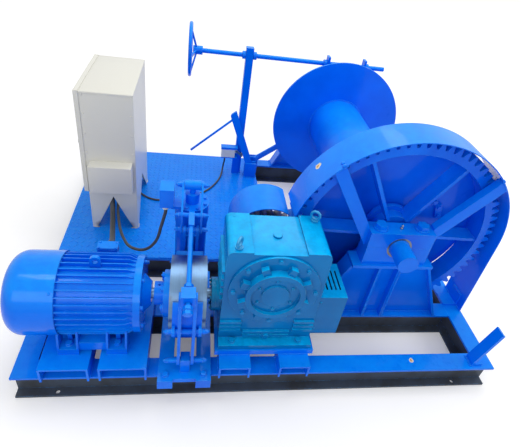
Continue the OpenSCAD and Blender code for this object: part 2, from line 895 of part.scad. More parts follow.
// One brake arm: two straps, its pivot pin and its shoe pin; s is -1 in front and 1 behind
module brake_arm(s) {
    foot = [s * pivot_u, pivot_z];
    knee = [s * pivot_u, shoe_pin_z];
    head = [s * (s < 0 ? arm_top_u + trunnion / 4 : arm_top_u), s < 0 ? arm_top_z : lever_pin_z];
    translate([brake_x, axis_y, 0]) {
        for (x = [arm_in, -arm_in - arm_t]) plate_yz(x, arm_t) difference() {
            union() {
                strap(foot, knee, arm_w);
                strap(knee, head, arm_w);
            }
            if (s > 0) translate(head) circle(r = pin_r + run);
            translate([0, line_z]) circle(r = shoe_back_r + gap);
        }
        for (p = [foot, knee]) rod_x([-ear_in - ear_t - arm_t, p[0], p[1]], pin_r,
            2 * (ear_in + ear_t + arm_t));
    }
}
module front_brake_arm() {
    color(blue) {
        difference() {
            brake_arm(-1);
            translate([brake_x - trunnion / 2 - gap, axis_y - arm_top_u - trunnion * 0.75,
                arm_top_z - trunnion / 2])
                cube([trunnion + 2 * gap, trunnion, trunnion * 2]);
        }
        difference() {
            translate([brake_x - trunnion / 2, axis_y - arm_top_u - trunnion * 0.75,
                arm_top_z - trunnion / 2])
                cube([trunnion, trunnion, trunnion]);
            translate([brake_x, axis_y - arm_top_u - trunnion / 4, arm_top_z])
                rotate([tie_slope, 0, 0])
                rod_y([0, -trunnion, 0], tie_r + play, 2 * trunnion);
        }
    }
}
module rear_brake_arm() {
    color(blue) {
        brake_arm(1);
        translate([brake_x, axis_y + arm_top_u, lever_pin_z]) rotate([spring_lean, 0, 0])
            for (z = [spring_top - lever_pin_z, spring_top - lever_pin_z - spring_h - spring_seat_t])
                translate([-arm_in - over, -spring_r, z])
                    cube([2 * (arm_in + over), 2 * spring_r, spring_seat_t]);
    }
}

// A brake shoe with its ears and lining
module brake_shoe(s) {
    r0 = brake_r + gap;
    r1 = r0 + lining_t;
    r2 = r1 + shoe_t;
    module sector(a, b, r_in) {
        difference() {
            circle(r = b);
            circle(r = a);
            for (m = [-1, 1]) rotate(m * shoe_half) translate([-3 * r2, m > 0 ? 0 : -3 * r2])
                square([6 * r2, 3 * r2]);
            translate([-6 * r2, -3 * r2]) square([6 * r2, 6 * r2]);
        }
    }
    color(blue) translate([brake_x, axis_y, line_z]) scale([1, s, 1]) {
        plate_yz(-shoe_w / 2, shoe_w) sector(r1, r2, r0);
        difference() {
            for (x = [ear_in, -ear_in - ear_t]) plate_yz(x, ear_t)
                strap([r1, shoe_pin_z - line_z], [pivot_u, shoe_pin_z - line_z], arm_w);
            rod_x([-shoe_w, pivot_u, shoe_pin_z - line_z], pin_r + run, 2 * shoe_w);
            rod_x([-shoe_w, 0, 0], r1 + shoe_t / 2, 2 * shoe_w);
        }
    }
    color(rubber) translate([brake_x, axis_y, line_z]) scale([1, s, 1])
        plate_yz(-shoe_w / 2, shoe_w) sector(r0, r1, r0);
}
module front_brake_shoe() {
    brake_shoe(-1);
}
module rear_brake_shoe() {
    brake_shoe(1);
}

// Tie rod from the lever over the drum to the block of the front arm, with its nuts and fork
fork_r = 16;
fork_w = 22;
fork_l = 60;
nut_t = 14;
module brake_tie_rod() {
    reach = norm([rod_z - arm_top_z, rod_u + arm_top_u + trunnion / 4]);
    nose = trunnion * 1.35;
    face = trunnion / 2 + side;
    color(blue) translate([brake_x, axis_y + rod_u, rod_z]) rotate([tie_slope, 0, 0]) {
        rod_y([0, -reach - nose, 0], tie_r, reach + nose - fork_l / 2);
        difference() {
            union() {
                translate([-fork_w / 2, -fork_l, -fork_r]) cube([fork_w, fork_l, 2 * fork_r]);
                rod_x([-fork_w / 2, 0, 0], fork_r, fork_w);
            }
            rod_x([-fork_w, 0, 0], pin_r + run, 2 * fork_w);
        }
        for (y = [-reach - face - tie_r - nut_t, -reach - face - tie_r - 2.2 * nut_t,
            -reach + face + tie_r])
            translate([0, y, 0]) rotate([-90, 0, 0]) cylinder(r = tie_r * 1.9, h = nut_t, $fn = 6);
    }
}

// Two-plate lever between the rear arm, the tie rod and the thruster rod
lever_in = 34;
lever_t = 8;
lever_w = 32;
module brake_lever() {
    a = [axis_y + arm_top_u, lever_pin_z];
    b = [axis_y + rod_u, rod_z];
    c = [axis_y + thruster_u, thruster_pin_z];
    color(blue) {
        for (x = [lever_in, -lever_in - lever_t]) plate_yz(brake_x + x, lever_t) {
            strap(a, b, lever_w);
            strap(b, c, lever_w);
        }
        for (p = [a, b, c]) rod_x([brake_x - lever_in - lever_t * 2, p[0], p[1]], pin_r,
            2 * lever_in + 4 * lever_t);
    }
}

// Brake spring: a coil between the plates of the rear arm, held by two cross plates of the arm
spring_n = 12;
spring_r = 14;
wire_r = 2.4;
spring_h = 96;
spring_drop = 16;
spring_seat_t = 6;
coil_steps = 8;
spring_top = lever_pin_z - pin_r - spring_drop;
spring_lean = atan2(pivot_u - arm_top_u, lever_pin_z - shoe_pin_z);
function coil_point(i) = [spring_r * cos(i * 360 / coil_steps), spring_r * sin(i * 360 / coil_steps),
    i * (spring_h - 2 * wire_r) / (spring_n * coil_steps) + wire_r - spring_h];
function coil_gap(i) = norm(coil_point(i + coil_steps) - coil_point(i)) - 2 * wire_r;
echo(least_gap_between_turns = min([for (i = [0 : (spring_n - 1) * coil_steps]) coil_gap(i)]));
module brake_spring() {
    color(blue) translate([brake_x, axis_y + arm_top_u, lever_pin_z]) rotate([spring_lean, 0, 0])
        translate([0, 0, spring_top - lever_pin_z])
            tube([for (i = [0 : spring_n * coil_steps]) coil_point(i)], wire_r, 6);
}

// A closed tube swept along points, its rings square to the route
function unit(v) = v / norm(v);
function heading(p, i) = i == 0 ? unit(p[1] - p[0])
    : i == len(p) - 1 ? unit(p[i] - p[i - 1]) : unit(unit(p[i + 1] - p[i]) + unit(p[i] - p[i - 1]));
function carried(n, d) = unit(n - (n * d) * d);
function normals(p, i, n, out) = i == len(p) ? out
    : let (m = carried(n, heading(p, i))) normals(p, i + 1, m, concat(out, [m]));
module tube(p, r, sides) {
    d0 = heading(p, 0);
    start = abs(d0[2]) > 0.7 ? [1, 0, 0] : [0, 0, 1];
    ns = normals(p, 0, carried(start, d0), []);
    points = [for (i = [0 : len(p) - 1]) let (d = heading(p, i), n = ns[i], b = cross(d, n))
        for (k = [0 : sides - 1]) p[i] + r * (cos(k * 360 / sides) * n + sin(k * 360 / sides) * b)];
    last = (len(p) - 1) * sides;
    faces = concat(
        [for (i = [0 : len(p) - 2], k = [0 : sides - 1])
            let (a = i * sides + k, b = i * sides + (k + 1) % sides)
            [a, a + sides, b + sides]],
        [for (i = [0 : len(p) - 2], k = [0 : sides - 1])
            let (a = i * sides + k, b = i * sides + (k + 1) % sides)
            [a, b + sides, b]],
        [for (k = [1 : sides - 2]) [0, k, k + 1]],
        [for (k = [1 : sides - 2]) [last, last + k + 1, last + k]]);
    polyhedron(points = points, faces = faces);
}

// Thruster: a round body on a base pin, with a collar, a neck for its rod and a terminal box
thruster_rod_r = 12;
neck_r = 28;
neck_h = 44;
box_over = 12;
thruster_box_l = 42;
thruster_box_w = 70;
gland_r = 11;
gland_l = 26;
gland_out = 105;
gland_x = brake_x - gland_out;
gland_in = 30;
gland_y = axis_y + thruster_u - gland_in;
gland_rise = 512;
gland_z = beam_h + gland_rise;
thruster_box_h = 84;
thruster_top = thruster_z0 + thruster_h;
rod_depth = 4 * thruster_stroke;
module thruster_body() {
    c = [brake_x, axis_y + thruster_u];
    color(blue) {
        difference() {
            union() {
                translate([c[0], c[1], thruster_z0]) cylinder(r = thruster_r, h = thruster_h);
                translate([c[0], c[1], thruster_top - collar_h])
                    cylinder(r = thruster_r + collar_out, h = collar_h);
                translate([c[0], c[1], thruster_top]) cylinder(r = neck_r, h = neck_h);
                plate_yz(c[0] - lug_half, 2 * lug_half) {
                    translate([c[1], base_pin_z]) circle(r = arm_w / 2);
                    translate([c[1] - arm_w / 2, base_pin_z]) square([arm_w, thruster_z0 - base_pin_z]);
                }
                rod_x([c[0] - lug_half - cheek_t - 2 * side, c[1], base_pin_z], pin_r,
                    2 * (lug_half + cheek_t + 2 * side));
            }
            translate([c[0], c[1], thruster_top - rod_depth])
                cylinder(r = thruster_rod_r + run, h = rod_depth + neck_h + over);
        }
        translate([gland_x - thruster_box_l / 2, gland_y - thruster_box_w / 2, gland_z])
            cube([thruster_box_l + box_over, thruster_box_w, thruster_box_h]);
        translate([gland_x + thruster_box_l / 2, gland_y - thruster_box_w / 2 + box_over,
            gland_z - box_over])
            cube([c[0] - gland_x - thruster_box_l / 2 - neck_r - box_over, thruster_box_w, box_over]);
    }
    color("white") translate([gland_x, gland_y, gland_z - gland_l]) cylinder(r = gland_r, h = gland_l);
}

// Thruster push rod with its cross head
head_r = 20;
module thruster_rod() {
    c = [brake_x, axis_y + thruster_u];
    z0 = thruster_top - rod_depth + thruster_stroke;
    color(steel) difference() {
        union() {
            translate([c[0], c[1], z0]) cylinder(r = thruster_rod_r, h = thruster_pin_z - z0);
            rod_x([c[0] - lever_in + side, c[1], thruster_pin_z], head_r, 2 * (lever_in - side));
        }
        rod_x([c[0] - 2 * lever_in, c[1], thruster_pin_z], pin_r + play / 2, 4 * lever_in);
    }
}

// Gearbox housing: a hollow casting with feet, ribs, bearing seats and recessed top
rib_t = 12;
rib_out = 10;
module rounded_top(w, z0, z1, r) {
    translate([-w / 2, z0]) square([w, z1 - z0 - r]);
    translate([r - w / 2, z0]) square([w - 2 * r, z1 - z0]);
    for (s = [-1, 1]) translate([s * (w / 2 - r), z1 - r]) circle(r = r);
}
module gearbox_housing() {
    color(teal) difference() {
        union() {
            translate([pinion_x, 0, 0]) plate_xz(box_y0, box_w)
                rounded_top(box_l, stand_z, box_top, box_corner);
            translate([pinion_x - box_l / 2, box_y - box_foot_d / 2, stand_z])
                cube([box_l, box_foot_d, box_foot_t]);
            for (i = [0 : 4]) translate([box_x0 - rib_out, box_y0 + rib_t,
                stand_z + box_head * 1.2 + i * rib_t * 3])
                cube([rib_out + over, box_w - 2 * rib_t, rib_t]);
            for (i = [0 : 2], s = [-1, 1])
                translate([pinion_x + s * (box_l / 2 - rib_t * 3.5) - rib_t * 3.5, box_y0 - rib_out,
                    stand_z + box_foot_t * 3 + i * rib_t * 2]) cube([rib_t * 7, rib_out + over, rib_t]);
            for (i = [0 : 1]) translate([pinion_x - box_foot_span * 0.7, box_y0 - rib_out,
                stand_z + box_foot_t * 1.6 + i * rib_t * 1.7])
                    cube([box_foot_span * 1.4, rib_out + over, rib_t]);
            rod_x([box_x0 - rib_out * 2, axis_y, line_z], worm_cover_r, rib_out * 2 + box_t);
            rod_x([box_x1 - box_t, axis_y, line_z], worm_cover_r, box_t + rib_out);
        }
        difference() {
            translate([box_x0 + box_t, box_y0 + box_t, stand_z + box_foot_t])
                cube([box_l - 2 * box_t, box_w - 2 * box_t,
                    box_top - stand_z - box_foot_t - box_t - pad_drop]);
            for (x = [box_x0, box_x1 - bearing_w]) rod_x([x, axis_y, line_z], worm_cover_r, bearing_w);
            rod_y([pinion_x, box_y1 - box_t - bearing_w, wheel_axis_z], out_bearing_r + box_t,
                bearing_w);
        }
        translate([pinion_x - box_l / 2 + pad_l, box_y0 - over, box_top - pad_drop])
            cube([box_l - 2 * pad_l, box_w + 2 * over, pad_drop + over]);
        rod_y([pinion_x, box_y0 - over, wheel_axis_z], spigot_r, box_t + 2 * over);
        rod_y([pinion_x, box_y1 - box_t - bearing_w - over, wheel_axis_z], out_bearing_r,
            box_t + bearing_w + 2 * over);
        for (x = [box_x0 - rib_out * 2 - over, box_x1 - bearing_w - over])
            rod_x([x, axis_y, line_z], worm_bearing_r, bearing_w + rib_out * 2 + 2 * over);
        box_foot_places() translate([0, 0, -over])
            cylinder(r = foot_bolt_d / 2 + bolt_gap, h = box_foot_t + 2 * over);
        cover_bolt_places() cylinder(r = cover_bolt_d / 2, h = box_t + over);
        for (i = [0, 1]) translate(eye_place(i) - [0, 0, eye_shank])
            cylinder(r = eye_bolt_d / 2, h = eye_shank + over);
    }
}
spigot_r = 140;
cover_bolt_d = 10;
cover_bolt_n = 8;
module cover_bolt_places() {
    for (i = [0 : cover_bolt_n - 1]) translate([pinion_x, box_y0, wheel_axis_z])
        rotate([0, i * 360 / cover_bolt_n, 0]) translate([0, 0, cover_bolt_r]) rotate([-90, 0, 0])
            children();
}
eye_bolt_d = 16;
eye_shank = 16;
eye_shares = [[-0.394, -0.364], [0.41, 0.387]];
function eye_place(i)
    = [pinion_x + eye_shares[i][0] * box_l, axis_y + eye_shares[i][1] * box_w, box_top];

// Gearbox covers: the large front cover with its lugs and cap, and three bearing covers
cover_lug_n = 8;
lug_in = 28;
lug_out = 20;
module gearbox_covers() {
    y0 = box_y0 - cover_t;
    color(teal) {
        difference() {
            union() {
                rod_y([pinion_x, y0, wheel_axis_z], cover_r, cover_t);
                rod_y([pinion_x, box_y0 - over, wheel_axis_z], spigot_r - run, box_t + over);
                rod_y([pinion_x, box_y0 + box_t - over, wheel_axis_z], out_bearing_r + box_t,
                    bearing_w + over);
                ring_y([pinion_x, y0 - collar_t, wheel_axis_z], collar_r, cap_r, collar_t + over);
                rod_y([pinion_x, y0 - collar_t + cap_recess, wheel_axis_z], cap_r + over,
                    collar_t - cap_recess + over);
                rod_y([pinion_x, y0 - collar_t + cap_recess / 2, wheel_axis_z], hub_cap_r, cap_recess);
                for (i = [0 : cover_lug_n - 1]) translate([pinion_x, 0, wheel_axis_z])
                    rotate([0, (i + 0.5) * 360 / cover_lug_n, 0])
                        translate([-lug_in / 2, y0 - lug_out, collar_r - over])
                            cube([lug_in, lug_out + over, lug_in + over]);
            }
            rod_y([pinion_x, box_y0 + box_t, wheel_axis_z], out_bearing_r, bearing_w + over);
            cover_bolt_places() translate([0, 0, -cover_t - over])
                cylinder(r = cover_bolt_d / 2 + bolt_gap, h = cover_t + box_t + 2 * over);
        }
        ring_y([pinion_x, box_y1, wheel_axis_z], out_bearing_r + box_t * 2, out_shaft_r + gap * 2,
            worm_cover_t);
        ring_x([box_x0 - rib_out * 2 - worm_cover_t, axis_y, line_z], worm_cover_r,
            worm_shaft_r + gap * 2, worm_cover_t);
        ring_x([box_x1 + rib_out, axis_y, line_z], worm_cover_r, worm_shaft_r + gap * 2,
            worm_cover_t / 2);
    }
}

// Cowl over the gearbox fan, with slots in its top and front
module gearbox_fan_cowl() {
    y0 = box_y - fan_cowl_shift - fan_cowl_w / 2;
    color(teal) difference() {
        translate([box_x1, y0, fan_cowl_z]) cube([fan_cowl_l, fan_cowl_w, fan_cowl_h]);
        translate([box_x1 - over, y0 + fan_cowl_t, fan_cowl_z + fan_cowl_t])
            cube([fan_cowl_l - fan_cowl_t + over, fan_cowl_w - 2 * fan_cowl_t,
                fan_cowl_h - 2 * fan_cowl_t]);
        for (i = [0 : 4]) translate([box_x1 + fan_cowl_l * 0.16 + i * slot_w * 2,
            y0 + fan_cowl_w * 0.22,
            fan_cowl_z + fan_cowl_h - fan_cowl_t - over])
                cube([slot_w * 0.7, fan_cowl_w * 0.56, fan_cowl_t + 2 * over]);
        for (i = [0 : 6]) translate([box_x1 + fan_cowl_l - fan_cowl_t - over,
            y0 + fan_cowl_w * 0.18 + i * slot_w * 2,
            fan_cowl_z + fan_cowl_h * 0.25])
                cube([fan_cowl_t + 2 * over, slot_w * 0.7, fan_cowl_h * 0.5]);
    }
}

// Involute tooth: half its angle at a radius, and its outline as polar points
pressure = 20;
function inv(a) = tan(a) * 180 / PI - a;
function half_angle(m, z, slack, r) = let (rp = m * z / 2, rb = rp * cos(pressure))
    (PI * m / 2 - slack / 2) / (2 * rp) * 180 / PI + inv(pressure) - (r > rb ? inv(acos(rb / r)) : 0);
flank_steps = 3;
function tooth_radii(m, z) = let (r0 = m * z / 2 - 1.25 * m, r1 = m * z / 2 + m)
    [for (k = [0 : flank_steps]) r0 + (r1 - r0) * k / flank_steps];
function gear_points(m, z, slack, turn)
    = [for (i = [0 : z - 1]) let (radii = tooth_radii(m, z), c = turn + i * 360 / z)
    for (s = [-1, 1]) for (k = [0 : flank_steps])
        let (r = radii[s < 0 ? k : flank_steps - k], a = c + s * half_angle(m, z, slack, r))
            r * [cos(a), sin(a)]];
mesh_angle = atan2(wheel_axis_z - drum_z, pinion_x - drum_x);

// Worm shaft with a right-hand thread
worm_steps = 16;
worm_turns = 5;
worm_slack = 1.4;
worm_root_r = worm_d / 2 - 1.2 * worm_m;
worm_tip_r = worm_d / 2 + worm_m;
module worm_thread() {
    pitch = PI * worm_m;
    half_p = (pitch / 2 - worm_slack / 2) / 2;
    r0 = worm_root_r - over / 2;
    half0 = half_p + (worm_d / 2 - r0) * tan(pressure);
    half1 = half_p - worm_m * tan(pressure);
    n = worm_turns * worm_steps;
    ring = [for (i = [0 : n])
        let (a = i * 360 / worm_steps + 90, x = pitch * (i / worm_steps - worm_turns / 2),
        c = [0, cos(a), sin(a)])
            for (q = [[-half0, r0], [-half1, worm_tip_r], [half1, worm_tip_r], [half0, r0]])
            [x + q[0], 0, 0] + q[1] * c];
    faces = concat(
        [for (i = [0 : n - 1], k = [0 : 3]) let (a = i * 4 + k, b = i * 4 + (k + 1) % 4) [a, b, b + 4]],
        [for (i = [0 : n - 1], k = [0 : 3]) let (a = i * 4 + k, b = i * 4 + (k + 1) % 4)
            [a, b + 4, a + 4]],
        [[3, 2, 1], [3, 1, 0], [4 * n, 4 * n + 1, 4 * n + 2], [4 * n, 4 * n + 2, 4 * n + 3]]);
    polyhedron(points = ring, faces = faces);
}
module worm_shaft() {
    x0 = brake_x0 + lap;
    color(steel) {
        rod_x([x0, axis_y, line_z], worm_shaft_r, box_fan_x + fan_w - x0);
        rod_x([pinion_x - worm_l / 2, axis_y, line_z], worm_root_r, worm_l);
        translate([pinion_x, axis_y, line_z]) worm_thread();
    }
}

// Worm wheel: a hub and 30 teeth set at the lead angle of the worm
module worm_wheel() {
    r0 = worm_m * wheel_z / 2 - 1.2 * worm_m;
    lead = atan(worm_m / worm_d);
    color("goldenrod") difference() {
        union() {
            rod_y([pinion_x, axis_y - wheel_w / 2, wheel_axis_z], r0 + over / 4, wheel_w);
            rod_y([pinion_x, axis_y - wheel_w, wheel_axis_z], out_shaft_r + box_t, 2 * wheel_w);
            for (i = [0 : wheel_z - 1]) translate([pinion_x, axis_y, wheel_axis_z])
                rotate([0, i * 360 / wheel_z, 0]) rotate([0, 0, lead]) rotate([90, 0, 0])
                    linear_extrude(wheel_w, center = true)
                        polygon([for (s = [-1, 1], k = [0 : flank_steps])
                        let (radii = tooth_radii(worm_m, wheel_z),
                            r = radii[s < 0 ? k : flank_steps - k],
                            a = s * half_angle(worm_m, wheel_z, worm_slack, r) - 90)
                                r * [cos(a), sin(a)]]);
        }
        rod_y([pinion_x, axis_y - 2 * wheel_w, wheel_axis_z], out_shaft_r, 4 * wheel_w);
    }
}

// Output shaft from the front cover to the overhung pinion
module output_shaft() {
    y0 = box_y0 + box_t + over;
    color(steel) rod_y([pinion_x, y0, wheel_axis_z], out_shaft_r, gear_y1 + lap - y0);
}

// Lifting eyes of the gearbox
eye_r = 17;
eye_bar = 5.5;
module lifting_eyes() {
    color(teal) for (i = [0, 1]) translate(eye_place(i)) {
        translate([0, 0, -eye_shank]) cylinder(r = eye_bolt_d / 2 - run, h = eye_shank + eye_bar);
        cylinder(r = eye_bolt_d * 0.9, h = eye_bolt_d / 2);
        translate([0, 0, eye_r + 2 * eye_bar]) rotate([90, 0, i * 90 + 60]) rotate_extrude()
            translate([eye_r, 0]) circle(r = eye_bar, $fn = 24);
    }
}

// Pinion, a little wider than the bull gear
pinion_over = 4;
module pinion() {
    color(steel) difference() {
        translate([pinion_x, 0, wheel_axis_z]) plate_xz(gear_y0 - pinion_over, gear_w + 2 * pinion_over)
            polygon(gear_points(gear_m, pinion_z, backlash, mesh_angle + 180 + 180 / pinion_z));
        rod_y([pinion_x, gear_y0 - 2 * pinion_over, wheel_axis_z], out_shaft_r,
            gear_w + 4 * pinion_over);
    }
}

// A strip bent along an arc, from one angle to another
module arc_strip(r, t, a0, a1) {
    span = a1 - a0;
    far = 2 * (r + t);
    rotate(a0) difference() {
        circle(r = r + t, $fn = 96);
        circle(r = r, $fn = 96);
        if (span <= 180) {
            translate([-far, -far]) square([2 * far, far]);
            rotate(span) translate([-far, 0]) square([2 * far, far]);
        } else {
            intersection() {
                translate([-far, -far]) square([2 * far, far]);
                rotate(span) translate([-far, 0]) square([2 * far, far]);
            }
        }
    }
}

// Half-round guard over the pinion, with a leg to the end of the gearbox stand
pinion_guard_deep = 397;
pinion_guard_y0 = front_y + pinion_guard_deep;
pinion_guard_w = 183;
pinion_guard_end = 57;
leg_foot_w = 36;
leg_rise = 65;
module pinion_guard() {
    r = pinion_guard_r;
    y0 = pinion_guard_y0;
    y1 = y0 + pinion_guard_w;
    yb = middle_c + beam_w / 2;
    z0 = beam_h - flange_t;
    color(blue) {
        translate([pinion_x, 0, wheel_axis_z]) plate_xz(y0, pinion_guard_w)
            arc_strip(r, guard_t, pinion_guard_end, 180);
        plate_yz(pinion_x - r - guard_t, guard_t) polygon([[y0, wheel_axis_z], [y1, wheel_axis_z],
            [y1, wheel_axis_z - r], [yb + leg_foot_w, z0], [yb, z0], [yb, beam_h + leg_rise],
            [y0, beam_h + 2 * leg_rise]]);
    }
}

// Bull gear: a toothed rim on plate spokes, with a hub and a bolted ring
module bull_gear() {
    rim_in = gear_pitch_r - gear_m * 1.25 - rim_depth;
    color(blue) difference() {
        union() {
            translate([drum_x, 0, drum_z]) plate_xz(gear_y0, gear_w) difference() {
                polygon(gear_points(gear_m, gear_z, backlash, mesh_angle));
                circle(r = rim_in, $fn = 96);
            }
            for (i = [0 : spoke_n - 1]) translate([drum_x, 0, drum_z])
                rotate([0, -spoke_turn - i * 360 / spoke_n, 0])
                translate([gear_hub_r - over, gear_y0 + spoke_in, -spoke_t / 2])
                    cube([rim_in - gear_hub_r + 2 * over, gear_w - 2 * spoke_in, spoke_t]);
            rod_y([drum_x, gear_y0 + hub_in, drum_z], gear_hub_r, front_flange_y - gear_y0 - hub_in);
            rod_y([drum_x, gear_y1 - hub_ring_t, drum_z], hub_ring_r, hub_ring_t);
        }
        rod_y([drum_x, gear_y0 - over, drum_z], shaft_d / 2, gear_w * 2);
    }
}

// Guard strip over the bull gear, run straight down to the right beam, with its foot bracket
foot_bracket = 76;
module gear_guard() {
    foot = [guard_foot_x - drum_x, beam_h - drum_z];
    tangent = atan2(foot[1], foot[0]) + acos(guard_r / norm(foot));
    t = guard_r * [cos(tangent), sin(tangent)];
    n = [cos(tangent), sin(tangent)] * guard_t;
    color(blue) translate([drum_x, 0, drum_z]) {
        plate_xz(guard_y0, guard_w) {
            arc_strip(guard_r, guard_t, tangent, guard_start);
            polygon([t, t + n, foot + n, foot]);
        }
        plate_xz(guard_y0 + foot_bracket / 2, foot_bracket) polygon([foot, foot + [0, foot_bracket],
            foot + [-stay_t, foot_bracket], foot + [-stay_t, stay_t], foot + [-foot_bracket, stay_t],
                foot + [-foot_bracket, 0]]);
    }
}

// Two flat stays from the sides of the bearing cap to the guard
left_stay = 133;
right_stay = 42;
module stay(s, angle, z) {
    x = s * block_l / 2;
    far = 1.1 * guard_r * [cos(angle), sin(angle)];
    d = unit(far - [x, z]);
    n = [-d[1], d[0]] * s * stay_w / 2;
    rise = stay_w / 2 / abs(d[0]);
    plate_xz(guard_y0, stay_deep) polygon([[x, z - rise], [x, z + rise], far + n, far - n]);
}
module guard_stays() {
    color(blue) translate([drum_x, 0, drum_z]) intersection() {
        union() {
            stay(-1, left_stay, cap_h * 0.45);
            stay(1, right_stay, cap_h * 0.6);
        }
        rod_y([0, guard_y0 - over, 0], guard_r - gap, guard_w);
    }
}

// Drum barrel and its two flanges
module drum_barrel() {
    y0 = front_flange_y + drum_flange_t;
    color(blue) ring_y([drum_x, y0, drum_z], barrel_r, barrel_r - barrel_t, rear_flange_y - y0);
}
clamp_shares = [[0.595, 35.5], [0.636, 15], [0.777, -1.9]];
clamp_t = 18;
clamp_l = 72;
clamp_w = 30;
rope_r = 10;
clamp_bolt_d = 12;
clamp_pitch = 46;
module clamp_at(p) {
    translate([drum_x, front_flange_y, drum_z]) rotate([0, -p[1], 0])
        translate([p[0] * drum_flange_r, 0, 0]) children();
}
module drum_front_flange() {
    color(blue) difference() {
        rod_y([drum_x, front_flange_y, drum_z], gear_flange_r, drum_flange_t);
        rod_y([drum_x, front_flange_y - over, drum_z], shaft_d / 2, drum_flange_t + 2 * over);
        for (p = clamp_shares, s = [-1, 1])
            clamp_at(p) translate([0, -over, s * clamp_pitch / 2]) rotate([-90, 0, 0])
                cylinder(r = clamp_bolt_d / 2 + bolt_gap, h = drum_flange_t + 2 * over);
    }
}
ratchet_face = 171;
wheel_rim_t = 16;
ratchet_shift = ratchet_face - floor(ratchet_face * ratchet_n / 360) * 360 / ratchet_n;
module drum_rear_flange() {
    step = 360 / ratchet_n;
    color(blue) difference() {
        union() {
            rod_y([drum_x, rear_flange_y, drum_z], drum_flange_r, drum_flange_t);
            translate([drum_x, 0, drum_z]) plate_xz(ratchet_y0, ratchet_w)
                polygon([for (i = [0 : ratchet_n - 1])
                let (a = ratchet_shift + i * step)
                    for (q = [[a, ratchet_r], [a + step / 50, ratchet_r - ratchet_depth],
                    [a + step / 2, ratchet_r - ratchet_depth / 2]]) q[1] * [cos(q[0]), sin(q[0])]]);
            rod_y([drum_x, wheel_y0, drum_z], band_r, brake_wheel_w);
        }
        rod_y([drum_x, wheel_y0 + gusset_t, drum_z], band_r - wheel_rim_t, brake_wheel_w);
        rod_y([drum_x, rear_flange_y - over, drum_z], shaft_d / 2, drum_flange_t + brake_wheel_w);
    }
}

// Rope clamps on the front flange, each with two bolts
module rope_clamps() {
    color(blue) for (p = clamp_shares) clamp_at(p) difference() {
        union() {
            translate([-clamp_w / 2, -clamp_t, -clamp_l / 2]) cube([clamp_w, clamp_t, clamp_l]);
            for (s = [-1, 1]) translate([0, -clamp_t, s * clamp_pitch / 2]) rotate([90, 0, 0]) {
                cylinder(r = clamp_bolt_d, h = clamp_bolt_d * 0.8, $fn = 6);
                translate([0, 0, -clamp_t - drum_flange_t])
                    cylinder(r = clamp_bolt_d / 2, h = clamp_t + drum_flange_t + over);
            }
        }
        rotate([0, 90, 0]) cylinder(r = rope_r, h = 2 * clamp_w, center = true);
    }
}

// Main shaft
module main_shaft() {
    y0 = front_block_y - block_w / 2;
    color(blue) {
        rod_y([drum_x, y0, drum_z], shaft_d / 2, rear_block_y + block_w / 2 + rear_end_l - y0);
        rod_y([drum_x, y0 - shaft_end_l, drum_z], shaft_d / 2 - shaft_step, shaft_end_l + over);
    }
}

// Bearing blocks and caps of the main shaft, split at the shaft axis
module cap_bolt_places() {
    for (y = [front_block_y, rear_block_y], s = [-1, 1])
        translate([drum_x + s * cap_bolt_in, y, drum_z + cap_h]) children();
}
module block_half_at(y, z0, z1, l) {
    difference() {
        translate([drum_x - l / 2, y - block_w / 2, z0]) cube([l, block_w, z1 - z0]);
        rod_y([drum_x, y - block_w, drum_z], shaft_d / 2 + bush_t + run, 2 * block_w);
        for (s = [-1, 1]) translate([drum_x + s * cap_bolt_in, y, z0 - over])
            cylinder(r = cap_bolt_d / 2 + bolt_gap, h = z1 - z0 + 2 * over);
    }
}
module bearing_blocks() {
    color(blue) for (y = [front_block_y, rear_block_y])
        block_half_at(y, drum_z - block_base, drum_z, block_l);
}
module bearing_caps() {
    color(blue) for (y = [front_block_y, rear_block_y])
        block_half_at(y, drum_z, drum_z + cap_h, block_l);
}

// Fixing bolts of the motor, the gearbox, its cover and the bearing caps
module bolts() {
    color(blue) {
        foot_places() translate([0, 0, foot_t]) hex_bolt(foot_bolt_d, foot_t + pad_t);
        box_foot_places() translate([0, 0, box_foot_t]) hex_bolt(foot_bolt_d, box_foot_t + box_plate_t);
        cover_bolt_places() translate([0, 0, -cover_t]) rotate([180, 0, 0])
            hex_bolt(cover_bolt_d, cover_t);
        cap_bolt_places() hex_bolt(cap_bolt_d, cap_h + block_base + seat_t);
    }
}

// Band of the hand brake with its lining, two lugs and the strut to its anchor
strut_t = 12;
strut_w = 34;
anchor_along = 14;
anchor_rise = 95;
anchor_pin = [pawl_x + anchor_along, beam_h + anchor_rise];
strut_angle = 213;
module brake_band() {
    r0 = band_r + gap;
    r1 = r0 + band_lining;
    r2 = r1 + band_t;
    a0 = acos(lug_x / r2);
    y0 = wheel_y0 + side;
    w = brake_wheel_w - 2 * side;
    color(blue) translate([drum_x, 0, drum_z]) {
        plate_xz(y0, w) arc_strip(r1, band_t, 180 - a0, 360 + a0);
        difference() {
            for (s = [-1, 1]) translate([s * lug_x - lug_t / 2, band_y - lug_w / 2, r1 * sin(a0)])
                cube([lug_t, lug_w, spindle_h + lug_w - r1 * sin(a0)]);
            rod_x([-2 * lug_x, band_y, spindle_h], spindle_d / 2 + side, 4 * lug_x);
            rod_y([0, y0 - over, 0], r1, w + 2 * over);
        }
        difference() {
            plate_xz(band_y - strut_t / 2, strut_t)
                strap(anchor_pin - [drum_x, drum_z], r2 * [cos(strut_angle), sin(strut_angle)],
                    strut_w);
            rod_y([0, y0 - over, 0], r1, w + 2 * over);
            rod_y([anchor_pin[0] - drum_x, y0, anchor_pin[1] - drum_z], pin_r + run, w);
        }
    }
    color(rubber) translate([drum_x, 0, drum_z])
        plate_xz(y0, w) arc_strip(r0, band_lining, 180 - a0, 360 + a0);
}

